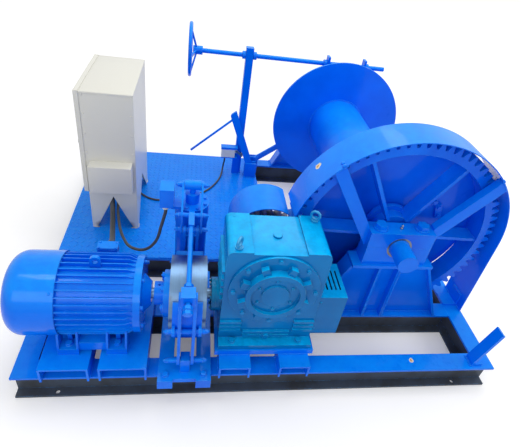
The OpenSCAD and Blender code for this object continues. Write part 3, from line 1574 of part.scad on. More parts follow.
// Band brake spindle with its collars
collar_len = 18;
module band_spindle() {
    x0 = hub_x + side;
    color(blue) {
        rod_x([x0, band_y, spindle_z], spindle_d / 2, spindle_x1 - x0);
        for (x = [post_x - post_w / 2 - side - collar_len, post_x + post_w / 2 + side,
            drum_x + lug_x + lug_t / 2 + side, drum_x - lug_x - lug_t / 2 - side - collar_len])
            rod_x([x, band_y, spindle_z], spindle_d * 0.85, collar_len);
    }
}

// Handwheel: a round rim, dished spokes and a hub
rim_r = 10;
hand_spoke_n = 5;
hand_hub_r = 24;
hand_hub_l = 54;
spoke_phase = 18;
module handwheel() {
    dish = hub_x - wheel_plane_x - hand_hub_l / 3;
    r = handwheel_r - rim_r;
    color(blue) translate([wheel_plane_x, band_y, spindle_z]) {
        rotate([0, 90, 0]) rotate_extrude() translate([r, 0]) circle(r = rim_r, $fn = 24);
        for (i = [0 : hand_spoke_n - 1]) rotate([i * 360 / hand_spoke_n + spoke_phase, 0, 0])
            plate_xz(-rim_r * 0.6, rim_r * 1.2) strap([0, r], [dish, hand_hub_r * 0.8], rim_r);
        difference() {
            rod_x([dish - hand_hub_l / 3, 0, 0], hand_hub_r, hand_hub_l);
            rod_x([hub_x - wheel_plane_x + side, 0, 0], spindle_d / 2, hand_hub_l);
        }
    }
}

// Posts on the deck: spindle post, pawl bracket, band anchor and switch bracket
switch_plate_t = 6;
switch_plate_w = 44;
module bracket(x, z, y0, t) {
    difference() {
        translate([x - bracket_w / 2, y0, deck_z]) cube([bracket_w, t, z - deck_z + bracket_w / 2]);
        rod_y([x, y0 - over, z], pin_r + run, t + 2 * over);
    }
}
module deck_posts() {
    cheek = pawl_t / 2 + side;
    anchor = strut_t / 2 + side;
    color(blue) {
        difference() {
            translate([post_x - post_w / 2, band_y - post_t / 2, deck_z])
                cube([post_w, post_t, spindle_z + post_over - deck_z]);
            rod_x([post_x - post_w, band_y, spindle_z], spindle_d / 2 + run, 2 * post_w);
        }
        for (y = [pawl_y - cheek - bracket_t, pawl_y + cheek]) bracket(pawl_x, pawl_z, y, bracket_t);
        translate([pawl_x - bracket_w / 2, pawl_y - cheek - bracket_t, deck_z])
            cube([bracket_w, 2 * (cheek + bracket_t), bracket_t]);
        for (y = [band_y - anchor - bracket_t, band_y + anchor])
            bracket(anchor_pin[0], anchor_pin[1], y, bracket_t);
        translate([anchor_pin[0] - bracket_w / 2, band_y - anchor - bracket_t, deck_z])
            cube([bracket_w, 2 * (anchor + bracket_t), bracket_t]);
        rod_y([anchor_pin[0], band_y - anchor - bracket_t, anchor_pin[1]], pin_r,
            2 * (anchor + bracket_t));
        translate([switch_x + switch_l / 2 - switch_plate_w / 2, switch_y + switch_w / 2, deck_z])
            cube([switch_plate_w, switch_plate_t, switch_z - deck_z]);
        translate([switch_x - switch_l / 2, switch_y - switch_w / 2,
            switch_z - switch_h / 2 - switch_plate_t])
            cube([switch_l, switch_w, switch_plate_t]);
    }
}

// Pawl lever with its pin and handle, leaning away from the ratchet
module pawl_lever() {
    w = pawl_w / 2;
    reach = pawl_t / 2 + side + bracket_t;
    color(blue) translate([pawl_x, 0, pawl_z]) rotate([0, -pawl_lean, 0]) {
        plate_xz(pawl_y - pawl_t / 2, pawl_t) {
            polygon([[-w, 0], [-w, pawl_l - w], [-w * 0.6, pawl_l - w * 0.5], [w, pawl_l], [w, 0]]);
            circle(r = w);
        }
        rod_y([0, pawl_y - reach, 0], pin_r, 2 * reach);
        translate([-w + handle_r, pawl_y, pawl_l - w * 2.2]) rotate([0, -90 - handle_drop, 0])
            cylinder(r = handle_r, h = handle_l);
    }
}

// Limit switch and its roller lever, which rests on the edge of the pawl lever
switch_head = 16;
switch_cover_t = 14;
lever_pin_in = 4;
lever_plate = 5;
lever_plate_w = 14;
roller_r = 9;
roller_w = 30;
lever_pin_r = 4;
roller_rise = 165;
roller_z = beam_h + roller_rise;
pawl_edge_x = pawl_x - (roller_z - pawl_z) * tan(pawl_lean) - pawl_w / 2 / cos(pawl_lean);
roller_x = pawl_edge_x - (roller_r + gap) / cos(pawl_lean);
lever_pin_x = switch_x + switch_l / 2 - lever_pin_in;
limit_pin_z = switch_z + switch_h / 4;
module limit_switch() {
    x0 = switch_x - switch_l / 2;
    color("white") translate([x0, switch_y - switch_w / 2, switch_z - switch_h / 2])
        cube([switch_l - switch_head, switch_w, switch_h]);
    color(blue) difference() {
        translate([x0 - lever_pin_in, switch_y - switch_w / 2, switch_z + switch_h / 2])
            cube([switch_l + lever_pin_in, switch_w, switch_cover_t]);
        rod_y([lever_pin_x, switch_y - switch_w, limit_pin_z], lever_pin_r + run, 2 * switch_w);
    }
    color("white") difference() {
        translate([x0 + switch_l - switch_head, switch_y - switch_w / 4, switch_z])
            cube([switch_head, switch_w / 2, switch_h / 2]);
        rod_y([lever_pin_x, switch_y - switch_w, limit_pin_z], lever_pin_r + run, 2 * switch_w);
    }
}
module limit_lever() {
    y0 = switch_y - switch_w / 4 - side - lever_plate;
    color(steel) {
        plate_xz(y0, lever_plate)
            strap([lever_pin_x, limit_pin_z], [roller_x, roller_z], lever_plate_w);
        rod_y([roller_x, y0, roller_z], roller_r, roller_w);
        rod_y([lever_pin_x, y0, limit_pin_z], lever_pin_r, lever_plate + side + switch_w / 2);
    }
}

// Control cabinet: a sheet box open on the left, with its mounting plate and switchgear
mounting_t = 12;
device_d = 80;
device_n = 4;
hinge_out = 8;
hinge_r = 7;
hinge_pin_r = 4;
hinge_h = 24;
hinge_shares = [0.2, 0.8];
hinge_x = panel_x - door_t;
hinge_y = panel_y + panel_d + hinge_out;
module panel_cabinet() {
    inner_x = panel_x + panel_w - sheet_t - mounting_t;
    color(grey) {
        difference() {
            translate([panel_x, panel_y, panel_z]) cube([panel_w, panel_d, panel_h]);
            translate([panel_x - over, panel_y + sheet_t, panel_z + sheet_t])
                cube([panel_w - sheet_t + over, panel_d - 2 * sheet_t, panel_h - 2 * sheet_t]);
        }
        translate([panel_x + (panel_w - junction_w) * 0.6, panel_y - junction_d,
            panel_z + junction_d / 2])
            cube([junction_w, junction_d, junction_h]);
        for (z = hinge_shares) translate([hinge_x, hinge_y, panel_z + z * panel_h]) {
            translate([0, 0, -3 * hinge_h / 2]) cylinder(r = hinge_pin_r, h = 3 * hinge_h);
            for (k = [-3 * hinge_h / 2, hinge_h / 2 + side]) translate([0, 0, k]) {
                cylinder(r = hinge_r, h = hinge_h - side);
                translate([0, -hinge_out, 0]) cube([2 * door_t, hinge_out / 2, hinge_h - side]);
            }
        }
    }
    color(steel) translate([inner_x, panel_y + panel_d * 0.08, panel_z + panel_h * 0.06])
        cube([mounting_t, panel_d * 0.84, panel_h * 0.88]);
    color(black) for (i = [0 : device_n - 1])
        translate([inner_x - device_d, panel_y + panel_d * (0.14 + i * 0.19), panel_z + panel_h * 0.55])
            cube([device_d, panel_d * 0.13, panel_h * 0.2]);
}

// Cabinet door with its hinge knuckles and its lock
door_lip = 4;
lock_r = 12;
lock_h = 10;
module panel_door() {
    color(grey) {
        difference() {
            union() {
                translate([panel_x - door_t, panel_y - door_lip, panel_z - door_lip])
                    cube([door_t, panel_d + door_lip, panel_h + 2 * door_lip]);
                for (z = hinge_shares)
                    translate([hinge_x, hinge_y, panel_z + z * panel_h - hinge_h / 2]) {
                    cylinder(r = hinge_r, h = hinge_h);
                    translate([0, -hinge_out - over, 0]) cube([hinge_r, hinge_out + over, hinge_h]);
                }
            }
            for (z = hinge_shares) translate([hinge_x, hinge_y, panel_z + z * panel_h - hinge_h])
                cylinder(r = hinge_pin_r + run, h = 2 * hinge_h);
        }
    }
    color(black) rod_x([panel_x - door_t - lock_h, panel_y + 3 * lock_r, panel_z + panel_h / 2],
        lock_r, lock_h);
}

// Cabinet legs: a sheet skirt cut into four tapered legs
leg_half_share = 0.19;
cut_share = 0.86;
module skirt_cut(w) {
    inner = w * (1 - leg_half_share) / 2;
    polygon([[-inner, -over], [inner, -over], [0, panel_leg_h * cut_share]]);
}
module panel_legs() {
    h = panel_leg_h;
    color(grey) translate([panel_x, panel_y, deck_z]) difference() {
        cube([panel_w, panel_d, h]);
        translate([sheet_t, sheet_t, -over])
            cube([panel_w - 2 * sheet_t, panel_d - 2 * sheet_t, h + 2 * over]);
        translate([panel_w / 2, 0, 0]) plate_xz(-over, panel_d + 2 * over) skirt_cut(panel_w);
        translate([0, panel_d / 2, 0]) plate_yz(-over, panel_w + 2 * over) skirt_cut(panel_d);
    }
}

// Cables, each along its own route
motor_cable_r = 13;
thruster_cable_r = 7;
switch_cable_r = 5.5;
motor_route_shares = [
    [0, 0, 0], [0, 0, -0.178], [0.049, 0.039, -0.369], [0.099, 0.098, -0.496],
    [0.186, 0.196, -0.559], [0.299, 0.314, -0.559], [0.423, 0.431, -0.496], [0.561, 0.549, -0.39],
    [0.698, 0.667, -0.242], [0.823, 0.775, -0.072], [0.923, 0.863, 0.097], [0.973, 0.922, 0.203],
    [1, 0.961, 0.246], [1, 1, 0.246]];
thruster_route_shares = [
    [0, 0, 0], [0, 0, -0.114], [-0.004, 0.03, -0.242], [-0.004, 0.089, -0.381],
    [0.007, 0.159, -0.466], [0.044, 0.258, -0.517], [0.129, 0.436, -0.534], [0.221, 0.555, -0.542],
    [0.325, 0.644, -0.547], [0.454, 0.683, -0.555], [0.572, 0.699, -0.538], [0.679, 0.713, -0.453],
    [0.767, 0.739, -0.292], [0.83, 0.782, -0.093], [0.878, 0.838, 0.161], [0.911, 0.885, 0.394],
    [0.948, 0.937, 0.627], [0.981, 0.98, 0.839], [1, 1, 0.966], [1, 1, 1.034]];
switch_route_shares = [
    [0, 0, 0], [0, 0, -0.144], [0.004, -0.077, -0.314], [0.011, -0.058, -0.449],
    [0.022, 0.058, -0.534], [0.047, 0.256, -0.559], [0.109, 0.555, -0.559], [0.184, 0.795, -0.559],
    [0.282, 0.989, -0.559], [0.409, 1.144, -0.559], [0.536, 1.249, -0.559], [0.68, 1.314, -0.559],
    [0.785, 1.287, -0.559], [0.871, 1.167, -0.559], [0.933, 1.059, -0.525], [0.973, 1.016, -0.419],
    [0.994, 1.004, -0.229], [1, 1, 0.025], [1, 1, 0.237], [1, 1, 0.415]];
motor_entry_share = [0.442, 0.059];
thruster_entry_share = [0.58, 0.133];
switch_entry_share = [0.688, 0.716];
terminal_share = 0.607;
switch_gland_share = [0.257, 0.16];
function panel_entry(q) = [panel_x + panel_w * q[0], panel_y + panel_d * q[1], panel_z];
motor_entry = [term_x, axis_y + fin_r + term_d, term_z + term_h * terminal_share];
thruster_entry = [gland_x, gland_y, gland_z - gland_l];
switch_entry = [switch_x - switch_l * switch_gland_share[0],
    switch_y + switch_w * switch_gland_share[1],
    switch_z - switch_h / 2 - switch_plate_t];
// Points of a route from its ends and its shares of the span between them and of the panel's legs
function route(a, b, q) = let (n = len(q) - 1, left = b[2] - a[2] - q[n][2] * panel_leg_h)
    [for (i = [0 : n]) a + [q[i][0] * (b[0] - a[0]), q[i][1] * (b[1] - a[1]),
        q[i][2] * panel_leg_h + left * i / n]];
module motor_cable() {
    color(rubber) tube(route(panel_entry(motor_entry_share), motor_entry, motor_route_shares),
        motor_cable_r, 10);
}
module thruster_cable() {
    color(rubber) tube(route(panel_entry(thruster_entry_share), thruster_entry, thruster_route_shares),
        thruster_cable_r, 8);
}
module switch_cable() {
    color(rubber) tube(route(switch_entry, panel_entry(switch_entry_share), switch_route_shares),
        switch_cable_r, 8);
}

outer_frame();
cross_members();
deck_plate();
motor_stand();
gearbox_stand();
front_pedestal();
rear_pedestal();
motor_housing();
motor_end_shields();
motor_fan_cowl();
motor_terminal_box();
motor_stator();
motor_rotor();
cooling_fans();
rolling_bearings();
coupling_half();
brake_drum();
brake_base();
front_brake_arm();
rear_brake_arm();
front_brake_shoe();
rear_brake_shoe();
brake_tie_rod();
brake_lever();
brake_spring();
thruster_body();
thruster_rod();
gearbox_housing();
gearbox_covers();
gearbox_fan_cowl();
worm_shaft();
worm_wheel();
output_shaft();
lifting_eyes();
pinion();
pinion_guard();
bull_gear();
gear_guard();
guard_stays();
drum_barrel();
drum_front_flange();
drum_rear_flange();
rope_clamps();
main_shaft();
bearing_blocks();
bearing_caps();
bolts();
brake_band();
band_spindle();
handwheel();
deck_posts();
pawl_lever();
limit_switch();
limit_lever();
panel_cabinet();
panel_door();
panel_legs();
motor_cable();
thruster_cable();
switch_cable();
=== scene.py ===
# %% [markdown]
# # Dressing an electric winch
# A worm gearbox and an open gear pair drive a rope drum on a frame of rolled beams. The packed
# solids give every main shape. This lesson adds what a paint shop and a fitter add: glossy paint
# with wear, weld beads, bolt heads, chequer plate, cables and a wound spring.

# %% Tools of the lesson
import json
import math

import bmesh
import bpy
from mathutils import Matrix, Vector

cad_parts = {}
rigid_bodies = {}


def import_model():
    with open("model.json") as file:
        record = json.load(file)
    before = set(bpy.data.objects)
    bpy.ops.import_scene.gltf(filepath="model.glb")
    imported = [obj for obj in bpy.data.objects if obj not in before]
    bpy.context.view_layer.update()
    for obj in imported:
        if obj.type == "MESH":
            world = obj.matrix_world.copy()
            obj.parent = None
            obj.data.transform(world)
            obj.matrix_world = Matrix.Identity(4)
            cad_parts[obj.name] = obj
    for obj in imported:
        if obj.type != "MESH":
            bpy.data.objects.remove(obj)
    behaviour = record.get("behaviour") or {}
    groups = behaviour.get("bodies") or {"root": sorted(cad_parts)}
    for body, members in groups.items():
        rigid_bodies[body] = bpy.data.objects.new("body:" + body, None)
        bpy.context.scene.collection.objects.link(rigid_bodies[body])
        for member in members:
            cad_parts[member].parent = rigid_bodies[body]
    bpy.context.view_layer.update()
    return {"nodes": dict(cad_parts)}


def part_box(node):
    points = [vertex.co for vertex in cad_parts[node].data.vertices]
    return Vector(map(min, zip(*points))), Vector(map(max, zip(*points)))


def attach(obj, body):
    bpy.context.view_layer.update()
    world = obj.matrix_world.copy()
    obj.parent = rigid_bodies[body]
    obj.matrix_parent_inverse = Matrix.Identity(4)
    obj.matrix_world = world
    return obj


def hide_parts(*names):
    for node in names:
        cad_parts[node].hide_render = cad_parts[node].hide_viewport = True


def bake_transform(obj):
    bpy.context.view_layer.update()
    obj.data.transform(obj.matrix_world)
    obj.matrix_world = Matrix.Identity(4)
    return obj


MM = 0.001
TURN = 2 * math.pi
RIGHT, BACK, UP = (1, 0, 0), (0, 1, 0), (0, 0, 1)
LEFT, FRONT, DOWN = (-1, 0, 0), (0, -1, 0), (0, 0, -1)
WHITE = (1, 1, 1, 1)
for leftover in list(bpy.data.objects):
    bpy.data.objects.remove(leftover)
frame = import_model()
solids = frame["nodes"]
scene = bpy.context.scene


def linked(name, data):
    """A new object with that data, in the scene."""
    made = bpy.data.objects.new(name, data)
    scene.collection.objects.link(made)
    return made


# %% [markdown]
# ## The camera
# The photograph looks down at the winch from the front left, close and with a wide lens, and it
# leans a little to one side. The camera stands where a fit to the frame's edges put it. Its axes
# are written from three angles, so that the lean can be seen as a number.

# %% Camera
PICTURE = (523, 447)
EYE = Vector((-0.3725, -1.8511, 1.7121))
TURNED, TILTED, LEANING = -0.215, 0.621, 0.173
FOCAL_PIXELS, SENSOR = 436.8, 36
MIDDLE = (267.1, 204.6)
ahead = Vector((-math.sin(TURNED) * math.cos(TILTED), math.cos(TURNED) * math.cos(TILTED), -math.sin(TILTED)))
level = Vector((math.cos(TURNED), math.sin(TURNED), 0))
over = level.cross(ahead)
right = math.cos(LEANING) * level + math.sin(LEANING) * over
up = math.cos(LEANING) * over - math.sin(LEANING) * level
camera = linked("camera", bpy.data.cameras.new("camera"))
camera.matrix_world = Matrix.Translation(EYE) @ Matrix((right, up, -ahead)).transposed().to_4x4()
camera.data.sensor_width = SENSOR
camera.data.lens = FOCAL_PIXELS / PICTURE[0] * SENSOR
camera.data.shift_x = (PICTURE[0] / 2 - MIDDLE[0]) / PICTURE[0]
camera.data.shift_y = (MIDDLE[1] - PICTURE[1] / 2) / PICTURE[0]
camera.data.clip_start, camera.data.clip_end = 0.05, 60
scene.camera = camera
print("lens", round(camera.data.lens, 2), "mm")


# %% [markdown]
# ## The cables
# Three rubber cables leave the panel: a thick one to the motor, one that hangs in a loop to the
# brake's thruster, and a thin one along the deck to the limit switch. Each is a curve through
# listed points, with a round bevel, so its own line is its centreline.

# %% Cable curves
def at(points):
    """Points in millimetres as vectors in metres."""
    return [Vector(p) * MM for p in points]


PANEL_MOTOR, PANEL_THRUSTER, PANEL_SWITCH = (-772, 60, 372), (-740, 95, 372), (-715, 372, 372)
MOTOR_ENTRY, THRUSTER_ENTRY = (-692, -450, 430), (-469, -410, 616)
MOTOR_ROUTE = at([
    PANEL_MOTOR, (-772, 60, 330), (-768, 40, 285), (-764, 10, 255), (-757, -40, 240),
    (-748, -100, 240), (-738, -160, 255), (-727, -220, 280), (-716, -280, 315),
    (-706, -335, 355), (-698, -380, 395), (-694, -410, 420), (-692, -430, 430), MOTOR_ENTRY])
THRUSTER_ROUTE = at([
    PANEL_THRUSTER, (-740, 95, 345), (-741, 80, 315), (-741, 50, 282), (-738, 15, 262),
    (-728, -35, 250), (-705, -125, 246), (-680, -185, 244), (-652, -230, 243),
    (-617, -250, 241), (-585, -258, 245), (-556, -265, 265), (-532, -278, 303),
    (-515, -300, 350), (-502, -328, 410), (-493, -352, 465), (-483, -378, 520),
    (-474, -400, 570), (-469, -410, 600), THRUSTER_ENTRY])
SWITCH_ROUTE = at([
    (-165, 630, 274), (-165, 630, 240), (-167, 650, 200), (-171, 645, 168), (-177, 615, 148),
    (-191, 564, 142), (-225, 487, 142), (-266, 425, 142), (-320, 375, 142), (-390, 335, 142),
    (-460, 308, 142), (-539, 291, 142), (-597, 298, 142), (-644, 329, 142), (-678, 357, 150),
    (-700, 368, 175), (-712, 371, 220), (-715, 372, 280), (-715, 372, 330), PANEL_SWITCH])


def cable(name, route, diameter):
    """A smooth tube of that diameter along the route."""
    curve = bpy.data.curves.new(name, "CURVE")
    curve.dimensions = "3D"
    curve.resolution_u = 6
    curve.bevel_depth = diameter / 2
    curve.bevel_resolution = 5
    curve.use_fill_caps = True
    line = curve.splines.new("BEZIER")
    line.bezier_points.add(len(route) - 1)
    for knot, place in zip(line.bezier_points, route):
        knot.co = place
        knot.handle_left_type = knot.handle_right_type = "AUTO"
    return linked(name, curve)


motor_lead = cable("motor_lead", MOTOR_ROUTE, 26 * MM)
thruster_lead = cable("thruster_lead", THRUSTER_ROUTE, 14 * MM)
switch_lead = cable("switch_lead", SWITCH_ROUTE, 11 * MM)


def length_of(piece):
    return sum(line.calc_length() for line in piece.data.splines)


for lead in (motor_lead, thruster_lead, switch_lead):
    print(lead.name, round(length_of(lead), 3), "m long")


# %% [markdown]
# ## Floor and light
# The winch stands on a pale floor under a soft studio sky. Rays that reach the sky from the
# camera or from gloss see it white, while the light it gives is weaker, so nothing clips.

# %% Floor and lamps
def feed(tree, made, inputs):
    """Links each input of a node to a socket, or sets it to a value."""
    for key, value in dict(inputs).items():
        if isinstance(value, bpy.types.NodeSocket):
            tree.links.new(value, made.inputs[key])
        else:
            made.inputs[key].default_value = value


def node(tree, kind, inputs=(), **settings):
    """Adds a node, sets its fields and feeds its inputs."""
    made = tree.nodes.new(kind)
    for field, value in settings.items():
        setattr(made, field, value)
    feed(tree, made, inputs)
    return made


def maths(tree, operation, a, b=0.0):
    return node(tree, "ShaderNodeMath", {0: a, 1: b}, operation=operation).outputs[0]


def sky():
    world = bpy.data.worlds.new("studio")
    world.use_nodes = True
    tree = world.node_tree
    path = node(tree, "ShaderNodeLightPath").outputs
    mirrored = maths(tree, "MAXIMUM", path["Is Glossy Ray"], path["Is Transmission Ray"])
    seen = maths(tree, "MAXIMUM", path["Is Camera Ray"], mirrored)
    power = node(tree, "ShaderNodeMapRange", {"Value": seen, "To Min": 0.66, "To Max": 1.0})
    feed(tree, tree.nodes["Background"], {"Color": WHITE, "Strength": power.outputs[0]})
    scene.world = world


def softbox(name, place, target, size, watts):
    light = bpy.data.lights.new(name, "AREA")
    light.shape = "RECTANGLE"
    light.size, light.size_y = size
    light.energy = watts
    lamp = linked(name, light)
    lamp.location = place
    lamp.rotation_euler = (Vector(target) - Vector(place)).to_track_quat("-Z", "Y").to_euler()


sky()
softbox("overhead", (0.4, 0.6, 3.6), (0, 0, 0.4), (3.2, 2.2), 46)
softbox("front", (-1.6, -3.4, 2.2), (-0.2, -0.4, 0.3), (2.2, 1.4), 26)
softbox("window", (-1.7, -0.9, 3.6), (-0.9, -0.7, 0.5), (0.7, 0.45), 7)
softbox("skylight", (0.9, 2.6, 3.3), (0.1, -0.2, 0.5), (0.8, 0.5), 4)
softbox("side", (3.4, -0.8, 2.4), (0.4, 0, 0.4), (1.6, 1.6), 26)
scene.view_settings.view_transform = "Standard"

floor_mesh = bpy.data.meshes.new("floor")
floor_mesh.from_pydata([(-30, -30, 0), (30, -30, 0), (30, 30, 0), (-30, 30, 0)], [], [(0, 1, 2, 3)])
floor = linked("floor", floor_mesh)


# %% [markdown]
# ## Shared shader effects
# All the paints need the same few effects, so each is a node group with its own inputs: the
# rounding of edges with their wear and painted highlight, the slow change of a sprayed film, a
# painted top light with a speckle of dust, and the fine rings of turned metal. A group gives
# masks, colours and values, and the shader stays outside.

# %% Helpers for node groups
def effect(name, inputs, outputs):
    """An empty shader group with those sockets, and its two ends."""
    group = bpy.data.node_groups.new(name, "ShaderNodeTree")
    kinds = {"f": "NodeSocketFloat", "c": "NodeSocketColor", "v": "NodeSocketVector"}
    for label, kind, value in inputs:
        group.interface.new_socket(label, in_out="INPUT", socket_type=kinds[kind]).default_value = value
    for label, kind in outputs:
        group.interface.new_socket(label, in_out="OUTPUT", socket_type=kinds[kind])
    return group, group.nodes.new("NodeGroupInput"), group.nodes.new("NodeGroupOutput")


def times(tree, a, b):
    return maths(tree, "MULTIPLY", a, b)


def plus(tree, a, b):
    return maths(tree, "ADD", a, b)


def measure(tree, operation, a, b=(0, 0, 0)):
    """A number that a vector node gives, such as a distance."""
    return node(tree, "ShaderNodeVectorMath", {0: a, 1: b}, operation=operation).outputs["Value"]


def own_place(tree):
    return node(tree, "ShaderNodeTexCoord").outputs["Object"]


def blend(tree, share, a, b):
    return node(tree, "ShaderNodeMix", {0: share, 6: a, 7: b}, data_type="RGBA").outputs[2]


def noise(tree, where, scale, detail=3.0, rough=0.5):
    return node(tree, "ShaderNodeTexNoise", {"Vector": where, "Scale": scale, "Detail": detail,
                                             "Roughness": rough}).outputs["Fac"]


def step(tree, value, low, high):
    return node(tree, "ShaderNodeMapRange", {"Value": value, "From Min": low, "From Max": high},
                interpolation_type="SMOOTHSTEP").outputs[0]


def fade(tree, value, low, high):
    return maths(tree, "SUBTRACT", 1.0, step(tree, value, low, high))


def srgb(*eights):
    """A colour of eight-bit values, as the linear colour that a shader takes."""
    return tuple((v / 255 / 12.92) if v <= 10 else ((v / 255 + 0.055) / 1.055) ** 2.4 for v in eights) + (1,)


# %% Effect: edges
# A narrow rounding in the normal catches the light, and where it departs from the flat normal
# there is an edge. The paints turn that edge paler, for wear and a painted highlight. A little
# noise breaks that mask up, as real rubbing does.
edges, edges_in, edges_out = effect(
    "edge wear and highlight", [("Radius", "f", 0.003), ("Break-up", "f", 60.0)], [("Mask", "f"), ("Normal", "v")])
rounded = node(edges, "ShaderNodeBevel", {"Radius": edges_in.outputs["Radius"]}, samples=4)
facing = node(edges, "ShaderNodeNewGeometry")
alike = measure(edges, "DOT_PRODUCT", rounded.outputs[0], facing.outputs["Normal"])
bent = maths(edges, "SUBTRACT", 1.0, alike)
spots = noise(edges, own_place(edges), edges_in.outputs["Break-up"], 4.0, 0.6)
edge_wear_highlight_mask = times(edges, step(edges, bent, 0.03, 0.22), step(edges, spots, 0.42, 0.62))
feed(edges, edges_out, {"Mask": edge_wear_highlight_mask, "Normal": rounded.outputs[0]})

# %% Effect: sprayed film
# A film of paint is thicker here and thinner there. Faces that look up get a paler colour, a
# painted top light with a speckle of dust, and a little more roughness.
film, film_in, film_out = effect(
    "sprayed film", [("Paint", "c", (0, 0, 1, 1)), ("Deep", "c", (0, 0, 0.5, 1)),
                     ("Top Light And Dust", "c", srgb(150, 175, 210)), ("Top Light And Dust Share", "f", 0.15)],
    [("Color", "c"), ("Roughness", "f"), ("Height", "f")])
spot = own_place(film)
cloud = noise(film, spot, 5.0, 4.0)
shade = blend(film, step(film, cloud, 0.3, 0.7), film_in.outputs["Deep"], film_in.outputs["Paint"])
upward = node(film, "ShaderNodeSeparateXYZ",
              {0: node(film, "ShaderNodeNewGeometry").outputs["Normal"]}).outputs["Z"]
grit = step(film, noise(film, spot, 26.0, 6.0, 0.65), 0.35, 0.7)
speckle = plus(film, times(film, grit, 0.35), 0.65)
# Painted top light: faces that look up blend towards the paler colour, broken by a dust speckle.
top_light_speckled = times(film, step(film, upward, 0.2, 0.95), speckle)
top_light_and_dust_mask = times(film, top_light_speckled, film_in.outputs["Top Light And Dust Share"])
feed(film, film_out, {
    "Color": blend(film, top_light_and_dust_mask, shade, film_in.outputs["Top Light And Dust"]),
    "Roughness": plus(film, times(film, cloud, 0.16), times(film, top_light_and_dust_mask, 0.2)),
    "Height": plus(film, times(film, noise(film, spot, 160.0, 2.0), 0.5), noise(film, spot, 34.0, 2.0))})

# %% Effect: a chip in the paint
# Where a bolt or a sling has knocked the paint, a spot shows cream primer with a rusty heart.
chip, chip_in, chip_out = effect(
    "paint chip", [("Centre", "v", (0, 0, 0)), ("Size", "f", 0.02)], [("Mask", "f"), ("Heart", "f")])
place = own_place(chip)
away = measure(chip, "DISTANCE", place, chip_in.outputs["Centre"])
ragged = times(chip, maths(chip, "SUBTRACT", noise(chip, place, 70.0, 3.0), 0.5), 1.6)
reach = plus(chip, maths(chip, "DIVIDE", away, chip_in.outputs["Size"]), ragged)
feed(chip, chip_out, {"Mask": fade(chip, reach, 0.85, 1.0), "Heart": fade(chip, reach, 0.3, 0.55)})

# %% Effect: turned metal
# A lathe tool leaves rings round the axis. Noise that is squeezed along the axis makes them.
turned, turned_in, turned_out = effect(
    "turned metal", [("Along", "v", (1, 0, 0)), ("Fineness", "f", 900.0)], [("Rings", "f"), ("Stain", "f")])
place = own_place(turned)
along = measure(turned, "DOT_PRODUCT", place, turned_in.outputs["Along"])
fine = times(turned, along, turned_in.outputs["Fineness"])
flat = node(turned, "ShaderNodeCombineXYZ", {"X": fine}).outputs[0]
smear = node(turned, "ShaderNodeVectorMath", {0: place, "Scale": 9.0}, operation="SCALE").outputs[0]
both = node(turned, "ShaderNodeVectorMath", {0: flat, 1: smear}, operation="ADD").outputs[0]
feed(turned, turned_out, {"Rings": noise(turned, both, 1.0, 3.0),
                          "Stain": noise(turned, place, 11.0, 5.0, 0.6)})
print("effects:", [g.name for g in bpy.data.node_groups if g.bl_idname == "ShaderNodeTree"])


# %% [markdown]
# ## The paints
# Nearly everything is one glossy blue, sprayed after assembly, bolts and all. The gearbox came
# in its maker's cyan. The webs of the beams kept their dark primer. Each paint is one shader,
# fed by the effects above, with its own colours and wear, and with painted light: paler faces
# that look up and paler edges.

# %% A paint maker
def use(tree, group, inputs):
    """The outputs of a shared effect, inside a material."""
    return node(tree, "ShaderNodeGroup", inputs, node_tree=group).outputs


def surface(name):
    material = bpy.data.materials.new(name)
    material.use_nodes = True
    tree = material.node_tree
    return material, tree, tree.nodes["Principled BSDF"]


# The first colour is the painted top light of blue faces that look up; primer and rust show in chips.
TOP_LIGHT_BLUE, CREAM_PRIMER = srgb(8, 158, 255), srgb(232, 216, 178)
RUST, SOOT = srgb(196, 112, 40), srgb(58, 46, 40)
BLUE_SHEEN = (0.2, 0.55, 1.0, 1.0)
RAGGED, SOFT, FILM_ROUGHNESS = 0.006, 0.004, 0.08


